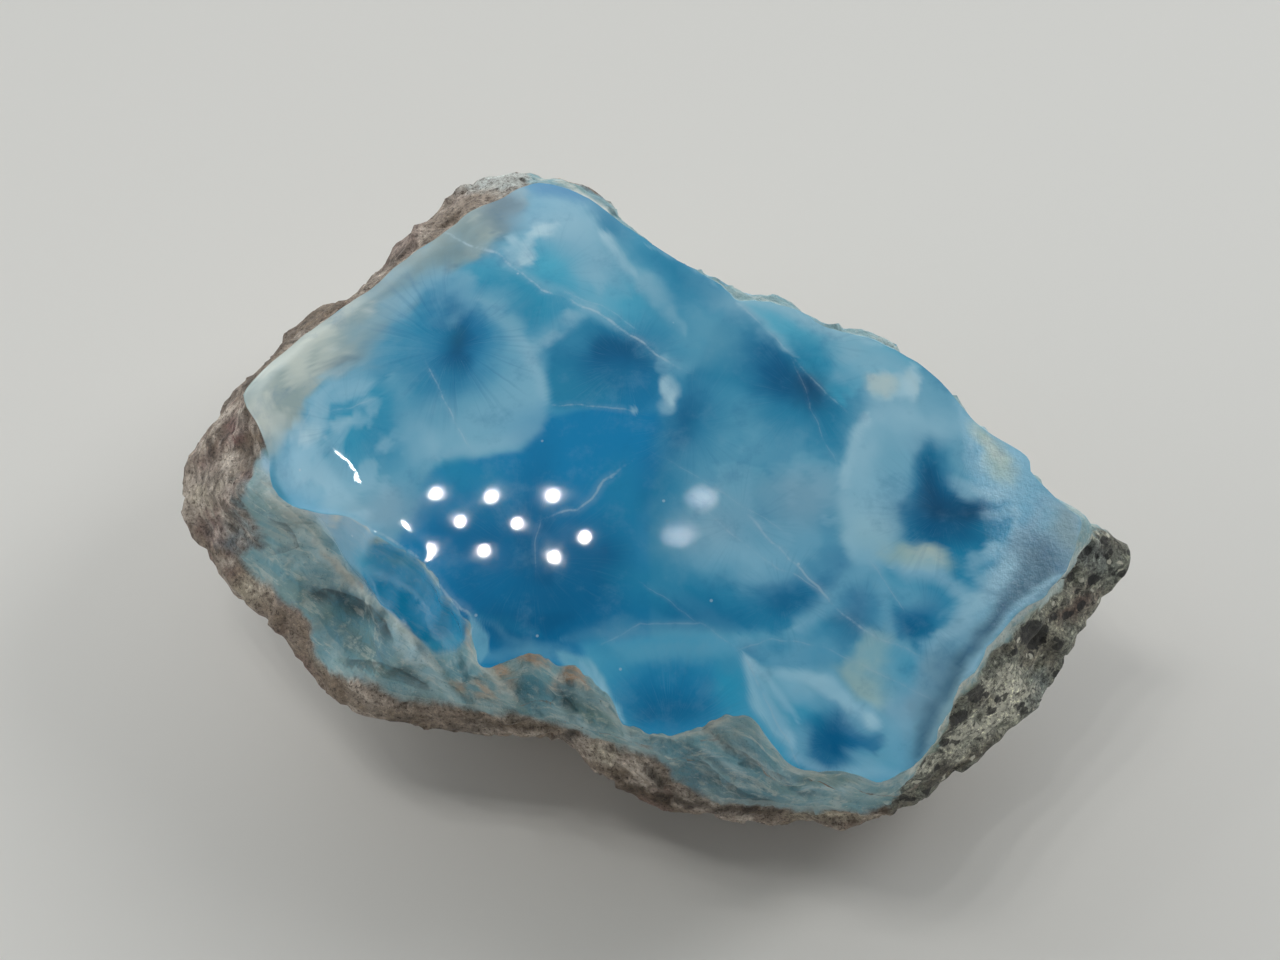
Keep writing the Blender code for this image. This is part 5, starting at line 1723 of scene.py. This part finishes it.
class Nodes:
    """Short calls for building a material."""

    def __init__(self, material):
        material.use_nodes = True
        self.tree = material.node_tree
        self.surface = self.tree.nodes.get("Principled BSDF")

    def add(self, kind, inputs=None, **settings):
        node = self.tree.nodes.new("ShaderNode" + kind)
        for name, value in settings.items():
            setattr(node, name, value)
        for name, value in (inputs or {}).items():
            self.feed(node.inputs[name], value)
        return node

    def feed(self, socket, value):
        if isinstance(value, bpy.types.NodeSocket):
            self.tree.links.new(value, socket)
        else:
            socket.default_value = value

    def stored(self, name, output="Fac"):
        return self.add("Attribute", attribute_name=name).outputs[output]

    def math(self, operation, a, b=0.0, clamp=False):
        node = self.add("Math", operation=operation, use_clamp=clamp)
        self.feed(node.inputs[0], a)
        self.feed(node.inputs[1], b)
        return node.outputs[0]

    def times(self, a, b, clamp=False):
        return self.math("MULTIPLY", a, b, clamp)

    def spread(self, value, low, high, to_low=0.0, to_high=1.0):
        """Maps low to high smoothly onto another range."""
        node = self.add("MapRange", interpolation_type="SMOOTHSTEP")
        for socket, number in zip(node.inputs, (value, low, high, to_low, to_high)):
            self.feed(socket, number)
        return node.outputs[0]

    def blend(self, share, a, b, mode="MIX"):
        node = self.add("Mix", data_type="RGBA", blend_type=mode, clamp_factor=True)
        self.feed(node.inputs["Factor"], share)
        self.feed(node.inputs[6], a)
        self.feed(node.inputs[7], b)
        return node.outputs[2]

    def noise(self, place, scale, detail, roughness):
        inputs = {"Vector": place, "Scale": scale, "Detail": detail, "Roughness": roughness}
        return self.add("TexNoise", inputs).outputs["Fac"]

    def spots(self, place, scale):
        """Distance to the nearest of scattered spots, and a colour of that spot's own."""
        outputs = self.add("TexVoronoi", {"Vector": place, "Scale": scale}).outputs
        return outputs["Distance"], outputs["Color"]

    def brightness(self, color):
        return self.add("RGBToBW", {"Color": color}).outputs[0]


def pigment(name):
    return (*PIGMENTS[name], 1.0)


def larimar_color(build, place, color):
    """The painted colour, with fibres, silky grain, cracks and specks drawn into it."""
    color = with_fibres(build, color)
    silk = build.noise(place, 210.0, 9.0, 0.68)
    color = build.blend(build.spread(silk, 0.50, 0.72, 0.0, 0.18), color, pigment("pale"))
    color = build.blend(build.spread(silk, 0.48, 0.30, 0.0, 0.24), color, pigment("deep"))
    color = with_cracks(build, place, color)
    distance, own = build.spots(place, 330.0)
    few = build.math("GREATER_THAN", build.brightness(own), 0.58)
    speck = build.times(build.spread(distance, 0.06, 0.03, 0.0, 0.5), few)
    return build.blend(speck, color, pigment("white"))


def with_fibres(build, color):
    """Pale and dark rays round the middles of the cells."""
    fibre_place = build.stored("fibre_place", "Vector")
    strength = build.stored("fibre_strength")
    fine = build.noise(fibre_place, 3.4, 3.0, 0.55)
    broad = build.noise(fibre_place, 1.5, 3.0, 0.5)
    light = build.times(build.spread(fine, 0.50, 0.80), build.times(strength, 0.20))
    color = build.blend(light, color, pigment("pale"))
    shade = build.times(build.spread(broad, 0.52, 0.26), build.times(strength, 0.24))
    return build.blend(shade, color, pigment("deep"))


def with_cracks(build, place, color):
    """Thin white lines with a faint glow, broken up along their length."""
    broken = build.spread(build.noise(place, 500.0, 4.0, 0.7), 0.36, 0.62, 0.12, 1.0)
    for signed, strength in line_sets(build, "crack"):
        far = build.math("ABSOLUTE", signed)
        glow = build.spread(far, 3.0, 0.0, 0.0, 0.2)
        line = build.math("ADD", build.spread(far, 0.6, 0.1, 0.0, 0.45), glow)
        share = build.times(line, strength)
        color = build.blend(build.times(share, broken), color, pigment("white"))
    return color


def line_sets(build, name):
    """The signed distance and the strength of each set of lines."""
    parts = [build.add("SeparateXYZ", {"Vector": build.stored(name + end, "Vector")}).outputs
             for end in ("_distance", "_strength")]
    return list(zip(*parts))


# Plan direction of the fibres in the broken larimar
STREAK_TURN = -0.65


def broken_color(build, place, color):
    """Unpolished larimar is chalkier, with dark grains in its dips, and with painted shade below the dark
    ledge lines.
    """
    chalk = build.noise(place, 700.0, 6.0, 0.66)
    color = build.blend(build.spread(chalk, 0.52, 0.70, 0.0, 0.40), color, pigment("chalk"))
    color = build.blend(build.spread(chalk, 0.46, 0.30, 0.0, 0.45), color, pigment("moss"))
    drawn_out = build.add("Mapping", {"Vector": place, "Rotation": (0, 0, STREAK_TURN), "Scale": (5, 1, 1)},
                          vector_type="TEXTURE").outputs[0]
    streaks = build.noise(drawn_out, 850.0, 6.0, 0.72)
    color = build.blend(build.spread(streaks, 0.52, 0.60, 0.0, 0.40), color, pigment("stream"))
    color = build.blend(build.spread(streaks, 0.46, 0.38, 0.0, 0.40), color, pigment("chalk"))
    flecks = build.noise(place, 2600.0, 2.0, 0.6)
    color = build.blend(build.spread(flecks, 0.62, 0.74, 0.0, 0.45), color, pigment("shade"))
    patchy = build.spread(build.noise(place, 400.0, 5.0, 0.7), 0.34, 0.56, 0.3, 1.0)
    # Pale ledge lines lay chalk on and below them, and dark ones lay painted shade there
    for signed, strength in line_sets(build, "ledge"):
        edge = build.spread(build.math("ABSOLUTE", signed), 1.0, 0.2, 0.0, 0.7)
        under = build.times(build.spread(signed, -0.2, 0.4), build.spread(signed, 7.0, 0.5, 0.0, 0.6))
        share = build.times(build.math("MAXIMUM", edge, under), patchy)
        color = build.blend(build.times(share, strength, clamp=True), color, pigment("chalk"))
        shade = build.times(share, build.times(strength, -1.0))
        color = build.blend(build.math("MAXIMUM", shade, 0.0), color, pigment("crevice_shade"))
    return color


def speckle(build, color, pattern, dark, darkness, pale, paleness):
    """Darkens the painted colour where a pattern is low, and lightens it where the pattern is high."""
    color = build.blend(build.spread(pattern, *dark), color, (*darkness, 1), "MULTIPLY")
    return build.blend(build.spread(pattern, *pale), color, (*paleness, 1), "MULTIPLY")


def rind_color(build, place, color):
    """The painted rind, with dark grains and pale crust of every size."""
    grain = build.noise(place, 1100.0, 9.0, 0.80)
    color = speckle(build, color, grain, (0.48, 0.43), (0.52, 0.48, 0.46), (0.53, 0.58), (1.45, 1.45, 1.45))
    flecks = build.noise(place, 2600.0, 3.0, 0.7)
    return speckle(build, color, flecks, (0.44, 0.38), (0.40, 0.37, 0.35), (0.58, 0.66), (1.45, 1.45, 1.45))


def basalt_color(build, place, tint):
    """The painted basalt, with dark grains, painted shade inside its gas holes, and pale crystals, mostly
    where it is pale.
    """
    grain = build.noise(place, 900.0, 9.0, 0.82)
    color = speckle(build, tint, grain, (0.47, 0.44), (0.42, 0.42, 0.42), (0.54, 0.57), (1.75, 1.75, 1.70))
    flecks = build.noise(place, 2600.0, 3.0, 0.7)
    color = speckle(build, color, flecks, (0.45, 0.40), (0.34, 0.34, 0.34), (0.57, 0.63), (1.80, 1.80, 1.70))

    wobble = build.add("TexNoise", {"Vector": place, "Scale": 900.0, "Detail": 3.0}).outputs[1]
    shifted = build.add("VectorMath", operation="MULTIPLY_ADD")
    for socket, value in zip(shifted.inputs, (wobble, (1.2 * MM,) * 3, place)):
        build.feed(socket, value)
    uneven = shifted.outputs[0]

    # Painted shade: black in scattered small holes
    distance, own = build.spots(uneven, 700.0)
    hole = build.spread(distance, 0.40, 0.30, 0.0, 0.85)
    chosen = build.spread(own, 0.50, 0.54)
    color = build.blend(build.times(hole, chosen), color, pigment("pit_shade"))

    distance, own = build.spots(uneven, 1300.0)
    crystal = build.spread(distance, 0.46, 0.34, 0.0, 0.9)
    most = build.spread(build.brightness(tint), 0.22, 0.34, 0.80, 0.42)
    chosen = build.math("GREATER_THAN", build.brightness(own), most)
    color = build.blend(build.times(crystal, chosen), color, pigment("crystal"))

    # Painted shade: black inside the listed gas holes
    ragged = build.times(build.noise(place, 1300.0, 3.0, 0.6), 0.9)
    inside = build.spread(build.math("ADD", build.stored("gas_hole"), ragged), 0.54, 0.34, 0.0, 0.85)
    return build.blend(inside, color, pigment("pit_shade"))


def stone_material():
    material = bpy.data.materials.new("larimar_looks")
    build = Nodes(material)
    place = build.add("TexCoord").outputs["Object"]
    rind, basalt = build.stored("rind"), build.stored("basalt")
    broken, gloss = build.stored("broken"), build.stored("gloss")

    tint = build.stored("tint", "Color")
    color = larimar_color(build, place, tint)
    rough_color = broken_color(build, place, color)
    dull = build.times(broken, build.math("SUBTRACT", 1.0, gloss))
    color = build.blend(dull, color, rough_color)
    color = build.blend(rind, color, rind_color(build, place, tint))
    color = build.blend(basalt, color, basalt_color(build, place, tint))
    build.feed(build.surface.inputs["Base Color"], color)

    scratches = build.noise(place, 300.0, 5.0, 0.6)
    smooth = build.spread(scratches, 0.35, 0.75, 0.035, 0.08)
    roughness = build.add("Mix", {"Factor": gloss, "A": 0.62, "B": smooth}, data_type="FLOAT")
    build.feed(build.surface.inputs["Roughness"], roughness.outputs[0])

    coarse = build.noise(place, 700.0, 6.0, 0.7)
    bumpy = build.math("SUBTRACT", 1.0, gloss, clamp=True)
    bump = build.add("Bump", {"Height": coarse, "Strength": build.times(bumpy, 0.8), "Distance": 0.6 * MM})
    build.feed(build.surface.inputs["Normal"], bump.outputs[0])
    build.surface.inputs["IOR"].default_value = 1.5
    return material


def make_stone():
    mesh, points, t = stone_mesh()
    on_face = t <= RIM_AT + 1e-4
    zones = Zones(points, point_normals(mesh), on_face, Paint(points))
    points = points + point_normals(mesh) * fine_relief(points, zones)[:, None] * settled(points, t)[:, None]
    points[:, 2] = np.maximum(points[:, 2], 0)
    move_points(mesh, points)
    paint = Paint(points)
    paint_all(paint, zones)

    put(mesh, "tint", "FLOAT_COLOR", np.column_stack([paint.color, np.ones(len(points))]))
    for name in ("rind", "basalt", "broken"):
        put(mesh, name, "FLOAT", getattr(zones, name))
    put(mesh, "gloss", "FLOAT", gloss_field(paint, zones))
    put(mesh, "gas_hole", "FLOAT", hole_field(paint))
    place, strength = fibre_field(paint)
    put(mesh, "fibre_place", "FLOAT_VECTOR", place)
    put(mesh, "fibre_strength", "FLOAT", strength)
    for name, sets, shown in (("crack", CRACKS, 1.0), ("ledge", LEDGE_LINES, 1 - zones.hidden[:, None])):
        distances, strengths = line_fields(paint, sets)
        put(mesh, name + "_distance", "FLOAT_VECTOR", distances)
        put(mesh, name + "_strength", "FLOAT_VECTOR", strengths * shown)

    stone = bpy.data.objects.new("larimar_skin", mesh)
    bpy.context.scene.collection.objects.link(stone)
    mesh.materials.append(stone_material())
    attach(stone, "root")
    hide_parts("larimar_stone")


def settled(points, t):
    """Fine relief stops short of the rim and of the flat foot."""
    return ramp(t, RIM_AT, RIM_AT + 0.02) * ramp(points[:, 2], 0.2, 1.5)


def make_camera():
    camera = bpy.data.cameras.new("camera")
    camera.sensor_width = 36.0
    camera.lens = camera.sensor_width * SIGHT_DISTANCE * PIXELS_PER_MM / PHOTO_WIDTH
    camera.clip_start = 0.01
    holder = bpy.data.objects.new("camera", camera)
    back = Vector((0, -math.cos(SIGHT_ELEVATION), math.sin(SIGHT_ELEVATION)))
    holder.location = (Vector(SIGHT_TARGET) + SIGHT_DISTANCE * back) * MM
    holder.rotation_euler = (math.pi / 2 - SIGHT_ELEVATION, 0, 0)
    bpy.context.scene.collection.objects.link(holder)
    bpy.context.scene.camera = holder


FLOOR_COLOR = (226, 225, 220)


def make_floor():
    bpy.ops.mesh.primitive_plane_add(size=6.0, location=(0, 0, 0))
    floor = bpy.context.object
    floor.name = "floor"
    material = bpy.data.materials.new("floor")
    material.use_nodes = True
    surface = material.node_tree.nodes["Principled BSDF"]
    surface.inputs["Base Color"].default_value = (*linear(*FLOOR_COLOR), 1)
    surface.inputs["Roughness"].default_value = 0.7
    floor.data.materials.append(material)


# The ceiling lamp: the plan places of its bulbs, in millimetres, which the polished face mirrors
LAMP_HEIGHT = 415.0
BULB_SIZE = (6.0, 9.5)
BULB_POWER = 0.032
BULB_COLOR = (1.0, 0.98, 0.95)
BULBS = [
    (-160, 50), (-117, 40), (-72, 36), (-186, 18), (-140, 18), (-98, 11), (-49, -6), (-164, -7), (-122, -13),
    (-71, -24),
]
# Two weaker bulbs, mirrored by the duller middle of the face: their plan places and shares of the power
DIM_BULBS = [(34, 32, 0.24), (16, -5, 0.26)]
# A long lamp, which the rolled edge at the left end mirrors as a short streak
LONG_LAMP = (-310, 68)
LONG_LAMP_SIZE = (50, 8)
LONG_LAMP_POWER = 0.06
# A soft lamp behind the stone at the right
RIGHT_FILL = (360, 140, 380)
RIGHT_FILL_SIZE = (180, 180)
RIGHT_FILL_POWER = 0.55


def make_light(name, place, target, size, power, color=(1, 1, 1)):
    light = bpy.data.lights.new(name, "AREA")
    light.shape = "ELLIPSE"
    light.size, light.size_y = size[0] * MM, size[1] * MM
    light.energy = power
    light.color = color
    holder = bpy.data.objects.new(name, light)
    holder.location = Vector(place) * MM
    holder.rotation_euler = (Vector(target) - Vector(place)).to_track_quat("-Z", "Y").to_euler()
    bpy.context.scene.collection.objects.link(holder)


# The room's light: its colour, its strength, the side that it comes from, and how wide it spreads there
ROOM_COLOR = (0.95, 0.98, 1.0)
LIGHT_FROM_BEHIND = 2.15
LIGHT_SIDE = (-0.3, 0.95, 0.0)
LIGHT_SPREAD = (-0.5, 0.6)
# Light from low down in front, which reaches the stone's wall but hardly the floor
LOW_LIGHT = 2.6
LOW_LIGHT_HEIGHT = (0.03, 0.27)
# The ceiling is dark but for the lamp: by how much, and how high up it starts
CEILING_SHADE = 0.9
CEILING_HEIGHT = (0.50, 0.72)


def make_room():
    """Soft light from all round, most of it from behind the stone, under the dark ceiling."""
    world = bpy.data.worlds.new("room")
    build = Nodes(world)
    direction = build.add("TexCoord").outputs["Generated"]
    facing = build.add("VectorMath", operation="DOT_PRODUCT")
    build.feed(facing.inputs[0], direction)
    build.feed(facing.inputs[1], LIGHT_SIDE)
    behind = build.spread(facing.outputs["Value"], *LIGHT_SPREAD)
    height = build.add("SeparateXYZ", {"Vector": direction}).outputs["Z"]
    overhead = build.spread(height, *CEILING_HEIGHT)
    ahead = build.math("SUBTRACT", 1.0, behind)
    low = build.times(build.spread(height, *LOW_LIGHT_HEIGHT, 1.0, 0.0), LOW_LIGHT)
    walls = build.math("ADD", build.times(behind, LIGHT_FROM_BEHIND), build.times(ahead, low))
    shade = build.math("SUBTRACT", 1.0, build.times(overhead, CEILING_SHADE))
    background = world.node_tree.nodes["Background"]
    background.inputs["Color"].default_value = (*ROOM_COLOR, 1)
    build.feed(background.inputs["Strength"], build.times(walls, shade))
    bpy.context.scene.world = world


def make_lights():
    make_room()
    for number, (x, y, share) in enumerate([(*bulb, 1.0) for bulb in BULBS] + DIM_BULBS):
        power = BULB_POWER * share
        make_light(f"bulb_{number}", (x, y, LAMP_HEIGHT), (x, y, 0), BULB_SIZE, power, BULB_COLOR)
    make_light("long_lamp", (*LONG_LAMP, LAMP_HEIGHT), (*LONG_LAMP, 0), LONG_LAMP_SIZE, LONG_LAMP_POWER)
    make_light("right_fill", RIGHT_FILL, (0, 0, 20), RIGHT_FILL_SIZE, RIGHT_FILL_POWER)


make_camera()
make_floor()
make_lights()
make_stone()
bpy.context.scene.view_settings.view_transform = "Standard"
